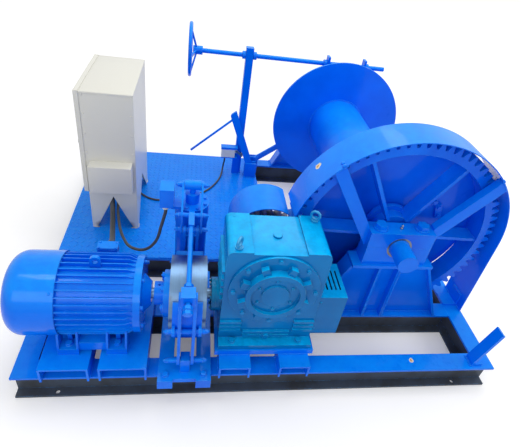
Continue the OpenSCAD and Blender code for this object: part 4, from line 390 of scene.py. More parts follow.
def paint(name, colour, deep, edge_wear_and_highlight, top_light_and_dust=TOP_LIGHT_BLUE, gloss=0.2, top_light_and_dust_share=0.6, edge=0.003, edge_wear_highlight_share=0.5,
          orange_peel=0.12, coat=0.18, primer=None, primer_height=0.0, primer_deep=srgb(62, 64, 68),
          span=(), chips=(), scorch=()):
    """A sprayed paint: film with painted top light, edges paler for wear and a painted highlight,
    and where asked another colour below a height or in a span along X, chips or scorch marks."""
    material, tree, shader = surface(name)
    # The film paints top light on faces that look up, with a speckle of dust.
    coating = use(tree, film, {"Paint": colour, "Deep": deep, "Top Light And Dust": top_light_and_dust, "Top Light And Dust Share": top_light_and_dust_share})
    rim = use(tree, edges, {"Radius": edge})
    hue, rough = coating["Color"], plus(tree, coating["Roughness"], gloss - FILM_ROUGHNESS)
    position = own_place(tree)
    if primer:
        height = node(tree, "ShaderNodeSeparateXYZ", {0: position}).outputs["Z"]
        ragged = times(tree, noise(tree, position, 24.0, 4.0), RAGGED)
        below = fade(tree, maths(tree, "SUBTRACT", height, ragged), primer_height - RAGGED, primer_height)
        dark = blend(tree, step(tree, noise(tree, position, 9.0, 6.0, 0.6), 0.3, 0.7), primer, primer_deep)
        hue = blend(tree, below, hue, dark)
        rough = plus(tree, rough, times(tree, below, 0.3))
    if span:
        low, high, other, other_top_light = span
        along = node(tree, "ShaderNodeSeparateXYZ", {0: position}).outputs["X"]
        inside = times(tree, step(tree, along, low, low + SOFT), fade(tree, along, high, high + SOFT))
        # The second colour gets its own painted top light on faces that look up.
        second = use(tree, film, {"Paint": other, "Deep": other, "Top Light And Dust": other_top_light, "Top Light And Dust Share": top_light_and_dust_share})
        hue = blend(tree, inside, hue, second["Color"])
    # Edges turn paler: paint wear together with a painted highlight.
    hue = blend(tree, times(tree, rim["Mask"], edge_wear_highlight_share), hue, edge_wear_and_highlight)
    for centre, size in chips:
        mark = use(tree, chip, {"Centre": Vector(centre) * MM, "Size": size * MM})
        hue = blend(tree, mark["Mask"], hue, CREAM_PRIMER)
        hue = blend(tree, mark["Heart"], hue, RUST)
    for centre, size in scorch:
        away = measure(tree, "DISTANCE", position, Vector(centre) * MM)
        patchy = plus(tree, away, times(tree, noise(tree, position, 45.0, 3.0), 0.02))
        burnt = fade(tree, patchy, size * MM * 0.3, size * MM)
        hue = blend(tree, times(tree, burnt, 0.85), hue, SOOT)
    bump = node(tree, "ShaderNodeBump", {"Height": coating["Height"], "Strength": orange_peel,
                                         "Distance": 0.0006, "Normal": rim["Normal"]})
    is_blue = colour[2] > 2 * colour[0]
    feed(tree, shader, {"Base Color": hue, "Roughness": rough, "Normal": bump.outputs[0],
                        "Coat Weight": coat, "Coat Roughness": 0.08, "Specular IOR Level": 0.22,
                        "Specular Tint": BLUE_SHEEN if is_blue else WHITE})
    return material


# Each edge colour is paler than its paint, for wear and a painted highlight on edges. The cyan and grey top
# colours here are painted top light on faces that look up.
BLUE, DEEP_BLUE, EDGE_WEAR_HIGHLIGHT_BLUE = srgb(0, 116, 246), srgb(0, 103, 234), srgb(84, 176, 255)
PALE_EDGE_WEAR_HIGHLIGHT, CYAN_TOP_LIGHT = srgb(110, 188, 255), srgb(0, 190, 255)
CREAM, GREY_TOP_LIGHT, WHITE_EDGE_WEAR_HIGHLIGHT = srgb(214, 213, 204), srgb(222, 224, 220), srgb(240, 240, 234)
DEEP_WHITE = srgb(212, 212, 204)
winch_blue = paint("winch_blue", BLUE, DEEP_BLUE, EDGE_WEAR_HIGHLIGHT_BLUE)
beam_blue = paint("beam_blue", BLUE, DEEP_BLUE, EDGE_WEAR_HIGHLIGHT_BLUE, primer=srgb(72, 82, 98), primer_height=0.119,
                  chips=[((618, -800, 130), 11)])
guard_blue = paint("guard_blue", BLUE, srgb(0, 104, 240), EDGE_WEAR_HIGHLIGHT_BLUE, gloss=0.24,
                   chips=[((119, -409, 859), 15)])
drum_blue = paint("drum_blue", srgb(0, 108, 246), srgb(0, 96, 232), EDGE_WEAR_HIGHLIGHT_BLUE, gloss=0.3)
motor_blue = paint("motor_blue", srgb(0, 112, 240), srgb(0, 98, 226), EDGE_WEAR_HIGHLIGHT_BLUE, gloss=0.16, coat=0.25)
cast_blue = paint("cast_blue", BLUE, srgb(0, 92, 226), PALE_EDGE_WEAR_HIGHLIGHT, gloss=0.22, orange_peel=0.5, edge_wear_highlight_share=0.75)
deck_blue = paint("deck_blue", srgb(0, 112, 246), srgb(0, 104, 240), PALE_EDGE_WEAR_HIGHLIGHT, gloss=0.22, edge_wear_highlight_share=0.8)
gearbox_cyan = paint("gearbox_cyan", srgb(0, 116, 186), srgb(0, 98, 166), srgb(100, 206, 246),
                     top_light_and_dust=CYAN_TOP_LIGHT, gloss=0.24, orange_peel=0.45, edge_wear_highlight_share=0.7, top_light_and_dust_share=0.85)
bolt_blue = paint("bolt_blue", BLUE, DEEP_BLUE, PALE_EDGE_WEAR_HIGHLIGHT, span=(-0.26, 0.16, srgb(0, 122, 192), CYAN_TOP_LIGHT))
# The lifting eyes look like bright steel; their cyan is a painted reflection of the blue round them.
eye_cyan_reflection = paint("eye_cyan_reflection", srgb(16, 140, 204), srgb(0, 110, 176), srgb(190, 232, 250),
                 top_light_and_dust=srgb(90, 200, 246), gloss=0.1, edge_wear_highlight_share=0.9, coat=0.7)
panel_paint = paint("panel_paint", CREAM, srgb(214, 213, 203), WHITE_EDGE_WEAR_HIGHLIGHT, top_light_and_dust=GREY_TOP_LIGHT, gloss=0.34,
                    top_light_and_dust_share=0.2, edge=0.0025, orange_peel=0.3, coat=0.2)
leg_paint = paint("leg_paint", CREAM, srgb(210, 209, 198), WHITE_EDGE_WEAR_HIGHLIGHT, top_light_and_dust=GREY_TOP_LIGHT, gloss=0.36,
                  top_light_and_dust_share=0.2, edge=0.0025, orange_peel=0.3, coat=0.2,
                  scorch=[((-830, 32, 150), 46), ((-690, 32, 152), 50), ((-820, 32, 142), 30)])
switch_shell = paint("switch_shell", srgb(226, 226, 220), DEEP_WHITE, srgb(244, 244, 240), top_light_and_dust=GREY_TOP_LIGHT,
                     gloss=0.3, coat=0.3, top_light_and_dust_share=0.2)
switch_blue = paint("switch_blue", BLUE, DEEP_BLUE, EDGE_WEAR_HIGHLIGHT_BLUE, primer=srgb(228, 228, 222),
                    primer_height=0.336, primer_deep=DEEP_WHITE)
black_fan = paint("black_fan", srgb(42, 43, 46), srgb(28, 29, 31), srgb(96, 97, 100), top_light_and_dust=srgb(90, 92, 96),
                  gloss=0.42, top_light_and_dust_share=0.2, coat=0.1)
print("paints:", len(bpy.data.materials))


# %% [markdown]
# ## Bare metal, rubber and bronze
# The brake drum is polished by its shoes, and its steel is tinted blue, a painted reflection of
# the paint round it. The shafts and pinion are turned steel with a film of oil, the worm wheel is
# bronze, and the cables are dull rubber with scuffs and dust.

# %% Metals and rubber
def turned_metal(name, colour, stain_colour, axis, rough=0.32, fineness=900.0):
    material, tree, shader = surface(name)
    marks = use(tree, turned, {"Along": axis, "Fineness": fineness})
    rim = use(tree, edges, {"Radius": 0.0015})
    bands = blend(tree, marks["Rings"], tuple(0.55 * v for v in colour[:3]) + (1,), colour)
    hue = blend(tree, step(tree, marks["Stain"], 0.5, 0.75), bands, stain_colour)
    bump = node(tree, "ShaderNodeBump", {"Height": marks["Rings"], "Strength": 0.35, "Distance": 0.0003,
                                         "Normal": rim["Normal"]})
    rough = plus(tree, times(tree, marks["Rings"], 0.22), rough - 0.1)
    feed(tree, shader, {"Base Color": hue, "Roughness": rough, "Normal": bump.outputs[0], "Metallic": 1.0})
    return material


def rubber(name, colour, dust):
    material, tree, shader = surface(name)
    position = own_place(tree)
    scuffs = step(tree, noise(tree, position, 60.0, 5.0, 0.65), 0.5, 0.75)
    bump = node(tree, "ShaderNodeBump", {"Height": noise(tree, position, 420.0, 2.0), "Strength": 0.2,
                                         "Distance": 0.0004})
    feed(tree, shader, {"Base Color": blend(tree, times(tree, scuffs, 0.5), colour, dust),
                        "Roughness": plus(tree, times(tree, scuffs, 0.2), 0.48),
                        "Normal": bump.outputs[0]})
    return material


# This steel's blue tint is a painted reflection of the blue paint round it.
steel_blue_reflection = turned_metal("steel_blue_reflection", srgb(122, 158, 196), srgb(96, 112, 132), RIGHT)
shaft_steel = turned_metal("shaft_steel", srgb(150, 154, 160), srgb(108, 96, 84), BACK, fineness=500.0)
rod_steel = turned_metal("rod_steel", srgb(190, 194, 200), srgb(150, 150, 150), UP, rough=0.26)
wheel_bronze = turned_metal("wheel_bronze", srgb(196, 150, 84), srgb(134, 96, 54), BACK, fineness=400.0)
cable_rubber = rubber("cable_rubber", srgb(66, 69, 71), srgb(112, 112, 108))


# %% [markdown]
# ## Paint on the solids
# Each solid takes the finish of the real part. The list is short because whole groups of parts
# were sprayed together.

# %% Finishes by part
def wear(piece, finish):
    """Gives a piece that one material, in place of any that it has."""
    piece.data.materials.clear()
    piece.data.materials.append(finish)


FINISHES = {
    beam_blue: ["outer_frame", "cross_members"],
    deck_blue: ["deck_plate"],
    motor_blue: ["motor_fan_cowl", "motor_terminal_box", "motor_housing", "motor_end_shields"],
    cast_blue: ["front_brake_arm", "rear_brake_arm", "brake_lever", "brake_base", "brake_tie_rod",
                "front_brake_shoe", "rear_brake_shoe", "coupling_half", "thruster_body", "thruster_rod",
                "bearing_blocks", "bearing_caps", "bull_gear"],
    bolt_blue: ["bolts"],
    guard_blue: ["gear_guard", "pinion_guard", "guard_stays"],
    drum_blue: ["drum_barrel", "drum_front_flange", "drum_rear_flange", "rope_clamps", "brake_spring"],
    winch_blue: ["motor_stand", "gearbox_stand", "front_pedestal", "rear_pedestal", "main_shaft",
                 "brake_band", "band_spindle", "handwheel", "deck_posts", "pawl_lever"],
    gearbox_cyan: ["gearbox_housing", "gearbox_covers", "gearbox_fan_cowl"],
    eye_cyan_reflection: ["lifting_eyes"],
    steel_blue_reflection: ["brake_drum", "motor_rotor", "motor_stator", "worm_shaft"],
    shaft_steel: ["output_shaft", "pinion", "rolling_bearings", "limit_lever"],
    wheel_bronze: ["worm_wheel"],
    black_fan: ["cooling_fans"],
    switch_blue: ["limit_switch"],
    panel_paint: ["panel_cabinet", "panel_door"],
    leg_paint: ["panel_legs"],
    cable_rubber: ["motor_cable", "thruster_cable", "switch_cable"],
}
for finish, names in FINISHES.items():
    for name in names:
        wear(solids[name], finish)
print("painted", sum(map(len, FINISHES.values())), "of", len(solids))

# %% Floor finish
# Far from the winch the lamps fade, so the floor there glows more for the camera and meets the
# white sky, while the floor close by keeps the winch's shadow.
pale, pale_tree, pale_shader = surface("pale_floor")
position = own_place(pale_tree)
grain = noise(pale_tree, position, 3.0, 4.0)
looked_at = node(pale_tree, "ShaderNodeLightPath").outputs["Is Camera Ray"]
away = measure(pale_tree, "LENGTH", position)
glow = plus(pale_tree, times(pale_tree, step(pale_tree, away, 1.6, 5.0), 0.24), 0.16)
feed(pale_tree, pale_shader, {
    "Base Color": blend(pale_tree, grain, srgb(246, 246, 246), srgb(250, 250, 250)), "Roughness": 0.9,
    "Specular IOR Level": 0.0, "Emission Color": WHITE,
    "Emission Strength": times(pale_tree, looked_at, glow)})
wear(floor, pale)


# %% [markdown]
# ## Finishing a piece
# Every new piece ends the same way: its place is in its mesh, it has one finish, and it rides on a
# body of the winch.

# %% Piece helpers
CRISP = math.radians(35)


def settle(piece, finish, body):
    """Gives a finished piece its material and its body."""
    wear(piece, finish)
    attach(piece, body)
    return piece


def mesh_piece(name, mesh, finish, body):
    """A mesh as a piece, with edges sharper than an angle kept crisp."""
    piece = linked(name, mesh)
    mesh.shade_smooth()
    mesh.set_sharp_from_angle(angle=CRISP)
    return settle(piece, finish, body)


def drawn(name, build):
    """A mesh that build(bm) draws in an empty bmesh, with its faces turned outwards."""
    bm = bmesh.new()
    build(bm)
    bmesh.ops.recalc_face_normals(bm, faces=bm.faces)
    mesh = bpy.data.meshes.new(name)
    bm.to_mesh(mesh)
    bm.free()
    return mesh


def shaped(name, finish, body, build):
    """A drawn mesh as a piece."""
    return mesh_piece(name, drawn(name, build), finish, body)


def block(low, high, rounding):
    """Draws a block between two corners in millimetres, with rounded edges."""
    low, high = at((low, high))
    place = Matrix.Translation((low + high) / 2) @ Matrix.Diagonal((*(high - low), 1))

    def build(bm):
        made = bmesh.ops.create_cube(bm, size=1.0, matrix=place)
        rims = list({e for v in made["verts"] for e in v.link_edges})
        bmesh.ops.bevel(bm, geom=rims, offset=rounding * MM, segments=3, profile=0.5, affect="EDGES")
    return build


def add_turned(bm, profile, origin, axis, sides=32):
    """A turned shape: pairs of radius and distance along the axis, in millimetres."""
    turn = Vector(axis).to_track_quat("Z", "Y").to_matrix().to_4x4()
    place = Matrix.Translation(Vector(origin) * MM) @ turn
    circle = [(math.cos(TURN * k / sides), math.sin(TURN * k / sides)) for k in range(sides)]
    rings = []
    for radius, along in profile:
        rings.append([bm.verts.new(place @ Vector((radius * MM * c, radius * MM * s, along * MM)))
                      for c, s in (circle if radius else [(0, 0)])])
    for a, b in zip(rings, rings[1:]):
        for k in range(sides):
            j = (k + 1) % sides
            rim = [a[k % len(a)], a[j % len(a)], b[j % len(b)], b[k % len(b)]]
            unique = list(dict.fromkeys(rim))
            if len(unique) > 2:
                bm.faces.new(unique)


# %% [markdown]
# ## Geometry Nodes for what repeats
# Bolt heads, rivets, weld beads and the studs of the chequer plate repeat hundreds of times.
# Each kind is one tree with named sizes. The tree runs on a carrier mesh, its instances are made
# real, and the result is kept as a plain mesh, because an export drops instances.

# %% Running a tree
def evaluated(piece):
    """The mesh of a piece, with its modifiers and bevel worked out."""
    graph = bpy.context.evaluated_depsgraph_get()
    return bpy.data.meshes.new_from_object(piece.evaluated_get(graph), depsgraph=graph)


def grow(name, carrier, tree, sizes, finish, body):
    """Evaluates a tree on a carrier mesh and keeps the result as one piece."""
    holder = linked(name + "_carrier", carrier)
    modifier = holder.modifiers.new("grow", "NODES")
    modifier.node_group = tree
    wanted = {**sizes, "Finish": finish}
    for item in tree.interface.items_tree:
        if item.item_type == "SOCKET" and item.in_out == "INPUT" and item.name in wanted:
            modifier[item.identifier] = wanted[item.name]
    holder.update_tag()
    bpy.context.view_layer.update()
    mesh = evaluated(holder)
    holder.modifiers.remove(modifier)
    bpy.data.objects.remove(holder)
    print(name, len(mesh.polygons), "faces")
    return mesh_piece(name, mesh, finish, body)


def tree_of(name, sockets):
    """An empty geometry tree with a geometry in and out, named sizes and a finish."""
    tree = bpy.data.node_groups.new(name, "GeometryNodeTree")
    tree.interface.new_socket("Geometry", in_out="INPUT", socket_type="NodeSocketGeometry")
    tree.interface.new_socket("Geometry", in_out="OUTPUT", socket_type="NodeSocketGeometry")
    for label, value in sockets:
        kind = {float: "Float", int: "Int", tuple: "Vector"}.get(type(value), "Object")
        made = tree.interface.new_socket(label, in_out="INPUT", socket_type="NodeSocket" + kind)
        if kind != "Object":
            made.default_value = value
    tree.interface.new_socket("Finish", in_out="INPUT", socket_type="NodeSocketMaterial")
    return tree, tree.nodes.new("NodeGroupInput").outputs, tree.nodes.new("NodeGroupOutput")


def close_tree(tree, inputs, output, instances):
    """Realize Instances and Set Material, as the last two steps of a tree."""
    real = node(tree, "GeometryNodeRealizeInstances", {"Geometry": instances})
    coated = node(tree, "GeometryNodeSetMaterial", {"Geometry": real.outputs[0],
                                                    "Material": inputs["Finish"]})
    tree.links.new(coated.outputs[0], output.inputs[0])


# %% Tree: fasteners on points
fasteners, f_in, f_out = tree_of("fasteners", [("Head", None), ("Size", 1.0), ("Seed", 1)])
towards = node(fasteners, "GeometryNodeInputNamedAttribute", {"Name": "axis"},
               data_type="FLOAT_VECTOR").outputs[0]
facing = node(fasteners, "FunctionNodeAlignRotationToVector", {"Vector": towards}, axis="Z").outputs[0]
spin = node(fasteners, "FunctionNodeRandomValue", {2: 0.0, 3: TURN, "Seed": f_in["Seed"]},
            data_type="FLOAT").outputs[1]
twist = node(fasteners, "FunctionNodeAxisAngleToRotation", {"Axis": (0, 0, 1), "Angle": spin}).outputs[0]
posed = node(fasteners, "FunctionNodeRotateRotation", {0: facing, 1: twist},
             rotation_space="LOCAL").outputs[0]
head = node(fasteners, "GeometryNodeObjectInfo", {"Object": f_in["Head"]}).outputs["Geometry"]
placed = node(fasteners, "GeometryNodeInstanceOnPoints",
              {"Points": f_in["Geometry"], "Instance": head, "Rotation": posed,
               "Scale": f_in["Size"]}).outputs[0]
close_tree(fasteners, f_in, f_out, placed)

# %% Tree: weld beads on a line
# A weld is a row of small overlapping puddles. Each puddle is a squashed ball turned along the
# line, and a random size keeps the row from looking stamped.
welding, w_in, w_out = tree_of("welding", [("Pitch", 0.007), ("Bead", 0.005), ("Seed", 1)])
line = node(welding, "GeometryNodeMeshToCurve", {"Mesh": w_in["Geometry"]}).outputs[0]
dotted = node(welding, "GeometryNodeResampleCurve", {"Curve": line, "Length": w_in["Pitch"]}, mode="LENGTH")
puddle = node(welding, "GeometryNodeMeshIcoSphere", {"Radius": w_in["Bead"], "Subdivisions": 2}).outputs[0]
tangent = node(welding, "GeometryNodeInputTangent").outputs[0]
turn = node(welding, "FunctionNodeAlignRotationToVector", {"Vector": tangent}, axis="X").outputs[0]
swell = node(welding, "FunctionNodeRandomValue", {2: 0.8, 3: 1.25, "Seed": w_in["Seed"]},
             data_type="FLOAT").outputs[1]
squashed = node(welding, "ShaderNodeCombineXYZ", {"X": 0.8, "Y": swell, "Z": swell}).outputs[0]
beads = node(welding, "GeometryNodeInstanceOnPoints",
             {"Points": dotted.outputs[0], "Instance": puddle, "Rotation": turn,
              "Scale": squashed}).outputs[0]
close_tree(welding, w_in, w_out, beads)

# %% Tree: chequer plate
# The studs stand in rows and lie to the left and to the right in turn. A grid with an odd
# number of rows turns every second one, and each stud is a flat ball of few faces.
chequer, c_in, c_out = tree_of("chequer", [("Length", 1.0), ("Width", 1.0), ("Pitch", 0.03),
                                           ("Stud", 0.011), ("Middle", (0.0, 0.0, 0.0))])
columns = maths(chequer, "DIVIDE", c_in["Length"], c_in["Pitch"])
rows = maths(chequer, "DIVIDE", c_in["Width"], c_in["Pitch"])
pairs_of_rows = maths(chequer, "FLOOR", times(chequer, rows, 0.5))
odd_rows = plus(chequer, times(chequer, pairs_of_rows, 2.0), 1.0)
grid = node(chequer, "GeometryNodeMeshGrid", {"Size X": c_in["Length"], "Size Y": c_in["Width"],
                                              "Vertices X": columns, "Vertices Y": odd_rows}).outputs[0]
count = node(chequer, "GeometryNodeInputIndex").outputs[0]
parity = maths(chequer, "MODULO", count, 2.0)
angle = plus(chequer, times(chequer, parity, TURN / 4), TURN / 8)
turned_to = node(chequer, "ShaderNodeCombineXYZ", {"Z": angle}).outputs[0]
stud = node(chequer, "GeometryNodeMeshIcoSphere", {"Radius": c_in["Stud"], "Subdivisions": 2}).outputs[0]
studs = node(chequer, "GeometryNodeInstanceOnPoints",
             {"Points": grid, "Instance": stud, "Rotation": turned_to, "Scale": (1.0, 0.3, 0.12)}).outputs[0]
spread = node(chequer, "GeometryNodeTransform", {"Geometry": studs, "Translation": c_in["Middle"]})
close_tree(chequer, c_in, c_out, spread.outputs[0])
print("geometry trees:", [g.name for g in bpy.data.node_groups if g.bl_idname == "GeometryNodeTree"])


# %% Templates of heads
# One template of each head stands at the origin, with a size of one for a thread of 12 mm. They
# are removed at the end.
def template(name, build):
    made = linked(name, drawn(name, build))
    made.hide_render = True
    return made


WASHER = [(0, 0), (11.6, 0), (12, 0.5), (12, 1.7), (11.5, 2.2), (9.9, 2.2), (0, 2.2)]


def standing(bm, profile, sides):
    add_turned(bm, profile, (0, 0, 0), UP, sides)


def hexagon(bm, top, corner=10.4, crown=0.8):
    """A washer, and a hexagon from there to a height, with its upper edge turned off."""
    standing(bm, WASHER, 20)
    foot = WASHER[-1][1]
    standing(bm, [(0, foot), (corner, foot), (corner, top - crown), (corner - crown * 1.2, top), (0, top)], 6)


def hex_head(bm):
    hexagon(bm, 9.8)


def stud_nut(bm):
    hexagon(bm, 12)
    standing(bm, [(0, 12), (5.9, 12), (5.9, 17.2), (5, 18), (0, 18)], 16)


def socket_head(bm):
    standing(bm, [(0, 0), (9, 0), (9, 10.8), (8, 12), (4.8, 12), (4.8, 7), (0, 7)], 20)


def pan_head(bm):
    standing(bm, [(0, 0), (10, 0), (10, 2), (8.6, 4.6), (5, 6), (2.4, 6), (2.4, 4), (0, 4)], 16)


def rivet_head(bm):
    standing(bm, [(0, 0), (9, 0), (8, 3.2), (5, 5.4), (0, 6)], 12)


HEADS = {build.__name__: template(build.__name__, build)
         for build in (hex_head, stud_nut, socket_head, pan_head, rivet_head)}
print("templates:", sorted(HEADS))


# %% Placing heads
def carrier_of(name, places):
    """Points in millimetres with the direction that each head looks in."""
    mesh = bpy.data.meshes.new(name)
    mesh.from_pydata(at(p for p, _ in places), [], [])
    way = mesh.attributes.new("axis", "FLOAT_VECTOR", "POINT")
    way.data.foreach_set("vector", [c for _, a in places for c in Vector(a).normalized()])
    return mesh


def heads(name, kind, thread, places, finish, body="frame"):
    sizes = {"Head": HEADS[kind], "Size": thread / 12, "Seed": len(name)}
    return grow(name, carrier_of(name, places), fasteners, sizes, finish, body)


def ring(centre, axis, radius, count, look, start=0.0):
    """Places on a circle round an axis. look is 'out', or the direction of every head."""
    turn = Vector(axis).to_track_quat("Z", "Y")
    found = []
    for k in range(count):
        a = math.radians(start) + TURN * k / count
        arm = turn @ Vector((math.cos(a), math.sin(a), 0))
        found.append((Vector(centre) + radius * arm, arm if look == "out" else look))
    return found


def grid_of(xs, ys, zs, look):
    return [((x, y, z), look) for x in xs for y in ys for z in zs]


def corners(node_name):
    low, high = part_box(node_name)
    return low / MM, high / MM


# %% [markdown]
# ## Fasteners
# The bolts that hold the main units are in the solids. The small ones are added here: the
# motor's shield and cowl screws, the gearbox's cap screws, nuts on the brake's pins, and the
# screws of the panel. They wear the same blue or cyan as what they hold.

# %% Motor and coupling fasteners
AXIS_Y, LINE_Z, BRAKE_X, PINION_X, WHEEL_Z = -650, 380, -363.85, -49.85, 517
DRUM_X, DRUM_Z, BEARINGS_Y, GUARD_RADIUS = 507, 566, (-516, 810), 481
PIN_BELOW, PIN_ABOVE, PIN_FAR = (AXIS_Y + 165, 570), (AXIS_Y + 175, 635), (AXIS_Y + 270, 715)
heads("shield_bolts", "socket_head", 10, ring((-533, AXIS_Y, LINE_Z), RIGHT, 128, 8, RIGHT, 22.5), motor_blue)
heads("cowl_screws", "pan_head", 7, ring((-836, AXIS_Y, LINE_Z), RIGHT, 157, 4, "out", 45), motor_blue)
lid_low, lid_high = corners("motor_terminal_box")
heads("lid_screws", "pan_head", 6,
      grid_of((lid_low.x + 8, lid_high.x - 8), (lid_low.y + 8, lid_high.y - 8), (lid_high.z,), UP),
      motor_blue)
heads("coupling_nuts", "stud_nut", 9, ring((-455.85, AXIS_Y, LINE_Z), RIGHT, 72, 6, LEFT), cast_blue,
      "driveline")

# %% Gearbox fasteners
covers_low, covers_high = corners("gearbox_covers")
fan_low, fan_high = corners("gearbox_fan_cowl")
heads("cap_screws", "hex_head", 8, ring((PINION_X, -781, WHEEL_Z), BACK, 72, 6, FRONT, 90), gearbox_cyan)
heads("worm_cover_bolts", "hex_head", 8, ring((covers_low.x, AXIS_Y, LINE_Z), RIGHT, 54, 6, LEFT, 30),
      gearbox_cyan)
heads("rear_ring_bolts", "hex_head", 8, ring((PINION_X, covers_high.y, WHEEL_Z), BACK, 80, 6, BACK, 30),
      gearbox_cyan)
heads("fan_cowl_screws", "pan_head", 7,
      grid_of((fan_low.x + 10,), (fan_low.y + 18, fan_high.y - 18), (fan_high.z,), UP)
      + grid_of((fan_low.x + 10,), (fan_low.y,), (fan_low.z + 30, fan_high.z - 30), FRONT), gearbox_cyan)

# %% Brake fasteners
def both_ends(node_name, pins):
    """Places at the two ends, along X, of pins that go through a part."""
    low, high = corners(node_name)
    return [((x, y, z), (s, 0, 0)) for y, z in pins for x, s in ((low.x, -1), (high.x, 1))]


heads("lever_nuts", "stud_nut", 11, both_ends("brake_lever", (PIN_BELOW, PIN_ABOVE, PIN_FAR)), cast_blue,
      "lever")
for body, side in (("front_arm", -180), ("rear_arm", 180)):
    pins = [(AXIS_Y + side, z) for z in (200, 375)]
    heads(body + "_nuts", "stud_nut", 11, both_ends(body.replace("_", "_brake_"), pins), cast_blue, body)
heads("thruster_top_bolts", "hex_head", 9, ring((BRAKE_X, PIN_FAR[0], 635), UP, 56, 8, UP, 22.5), cast_blue,
      "thruster")
heads("base_bolts", "hex_head", 14, grid_of((-437, -291), (-862,), (152,), UP)
      + grid_of((-437, -291), (-345,), (152,), UP), cast_blue)

# %% Panel, guard and drum fasteners
heads("junction_screws", "pan_head", 6, grid_of((-843, -667), (-28,), (412, 536), FRONT), panel_paint)
heads("panel_rivets", "rivet_head", 6, grid_of((-862, -655), (32,), (590, 690, 790, 880), FRONT),
      panel_paint)
guard_places, guard_skin = [], GUARD_RADIUS + 5
for a in (math.radians(132), math.radians(44)):
    across, above = math.cos(a), math.sin(a)
    guard_places += [((DRUM_X + guard_skin * across, y, DRUM_Z + guard_skin * above), (across, 0, above))
                     for y in (-516, -497)]
heads("guard_bolts", "rivet_head", 12, guard_places, guard_blue)
heads("band_rivets", "rivet_head", 7, ring((DRUM_X, 674, DRUM_Z), BACK, 333.3, 40, "out", 4.5)[21:39],
      winch_blue)


# %% [markdown]
# ## Weld beads
# The frame, the stands, the pedestals and the drum are welded, and the glossy paint makes every
# bead catch the light. Lines where plates meet carry the beads. Long joints are stitched, with
# gaps between short runs, as on the real frame.

# %% Bead helpers
def strokes(lines):
    """Edges of a carrier mesh from lists of points in millimetres."""
    verts, rims = [], []
    for points in lines:
        first = len(verts)
        verts += at(points)
        rims += [(first + k, first + k + 1) for k in range(len(points) - 1)]
    mesh = bpy.data.meshes.new("strokes")
    mesh.from_pydata(verts, rims, [])
    return mesh


def stitched(a, b, run=45, pause=95):
    """Short runs between two points, with pauses."""
    a, b = Vector(a), Vector(b)
    total, way, found, done = (b - a).length, (b - a).normalized(), [], 10.0
    while done + run < total:
        found.append([a + way * done, a + way * (done + run)])
        done += run + pause
    return found


def hoop(centre, radius, steps=72, low=0.0, high=360.0):
    """Points on an arc round an axis along Y."""
    angles = [math.radians(low + (high - low) * k / steps) for k in range(steps + 1)]
    return [Vector(centre) + Vector((radius * math.cos(a), 0, radius * math.sin(a))) for a in angles]


def beads(name, lines, size, finish, body="frame"):
    sizes = {"Pitch": size * 1.3 * MM, "Bead": size * MM, "Seed": len(name)}
    return grow(name, strokes(lines), welding, sizes, finish, body)


# %% Beads on the frame
GEAR_CHANNELS = [PINION_X - 120.4, PINION_X + 120.4]
MOTOR_CHANNELS = [-802.5, -593.5]
ON_BEAM, ON_FRAME, ON_DECK = 131, 132, 137
stand_lines = []
for centre, half in [(c, 62.5) for c in GEAR_CHANNELS] + [(c, 87.5) for c in MOTOR_CHANNELS]:
    for s in (-1, 1):
        for front, back in ((-849, -772), (-554, -478)):
            stand_lines.append([(centre + s * half, front, ON_BEAM), (centre + s * half, back, ON_BEAM)])
for centre in GEAR_CHANNELS:
    stand_lines.append([(centre - 58, -805, 195), (centre + 58, -805, 195)])
stand_lines += stitched((-994, -195, ON_BEAM), (40, -195, ON_BEAM))
stand_lines += stitched((56, -180, ON_BEAM), (56, 840, ON_BEAM))
stand_lines += [[(x, -785, ON_BEAM), (x, -835, ON_BEAM)] for x in (888, 895)]
beads("frame_beads", stand_lines, 4.2, beam_blue)

# %% Beads on pedestals, posts and guards
plate_lines = []
for y in BEARINGS_Y:
    plate_lines.append([(190, y - 9, ON_FRAME), (824, y - 9, ON_FRAME)])
    for s in (-1, 1):
        plate_lines.append([(DRUM_X + s * 334, y - 38, ON_FRAME), (DRUM_X + s * 334, y + 38, ON_FRAME)])
        plate_lines.append([(DRUM_X + s * 51, y - 40, 134), (DRUM_X + s * 51, y - 40, 452)])
for x0, x1, y0, y1 in ((-98, -52, 653, 695), (-30, 46, 600, 648)):
    plate_lines.append([(x, y, ON_DECK) for x, y in ((x0, y0), (x1, y0), (x1, y1), (x0, y1), (x0, y0))])
plate_lines.append([(994, -358, ON_FRAME), (994, -524, ON_FRAME)])
beads("plate_beads", plate_lines, 4.4, winch_blue)
beads("guard_beads", [hoop((DRUM_X, -523, DRUM_Z), GUARD_RADIUS, 8, a - 2.6, a + 2.6) for a in (133, 42)],
      4.0, guard_blue)
foot_lines = [[(x, 31, ON_DECK), (x + 26, 31, ON_DECK)] for x in (-868, -676)]
foot_lines += [[(-642, y, ON_DECK), (-642, y + 26, ON_DECK)] for y in (40, 476)]
beads("panel_tacks", foot_lines, 3.4, leg_paint)

# %% Beads on the drum
DRUM_JOINTS = ((-336, 167), (599, 167), (633, 322), (-446, 46))
beads("drum_beads", [hoop((DRUM_X, y, DRUM_Z), radius) for y, radius in DRUM_JOINTS], 5.0, drum_blue, "drum")


# %% [markdown]
# ## Chequer plate
# The deck is one sheet of rolled chequer plate. Its studs are too small for the solids, and they
# make the small lights all over the deck in the photograph.

# %% Studs on the deck
deck_low, deck_high = corners("deck_plate")
deck_mid = (deck_low + deck_high) / 2
deck_top = (deck_mid.x, deck_mid.y, deck_high.z)
BARE_EDGES = 24
grow("deck_studs", carrier_of("deck_point", [(deck_top, UP)]), chequer,
     {"Length": (deck_high.x - deck_low.x - BARE_EDGES) * MM,
      "Width": (deck_high.y - deck_low.y - BARE_EDGES) * MM,
      "Pitch": 0.0285, "Stud": 0.0125, "Middle": Vector(deck_top) * MM}, deck_blue, "frame")


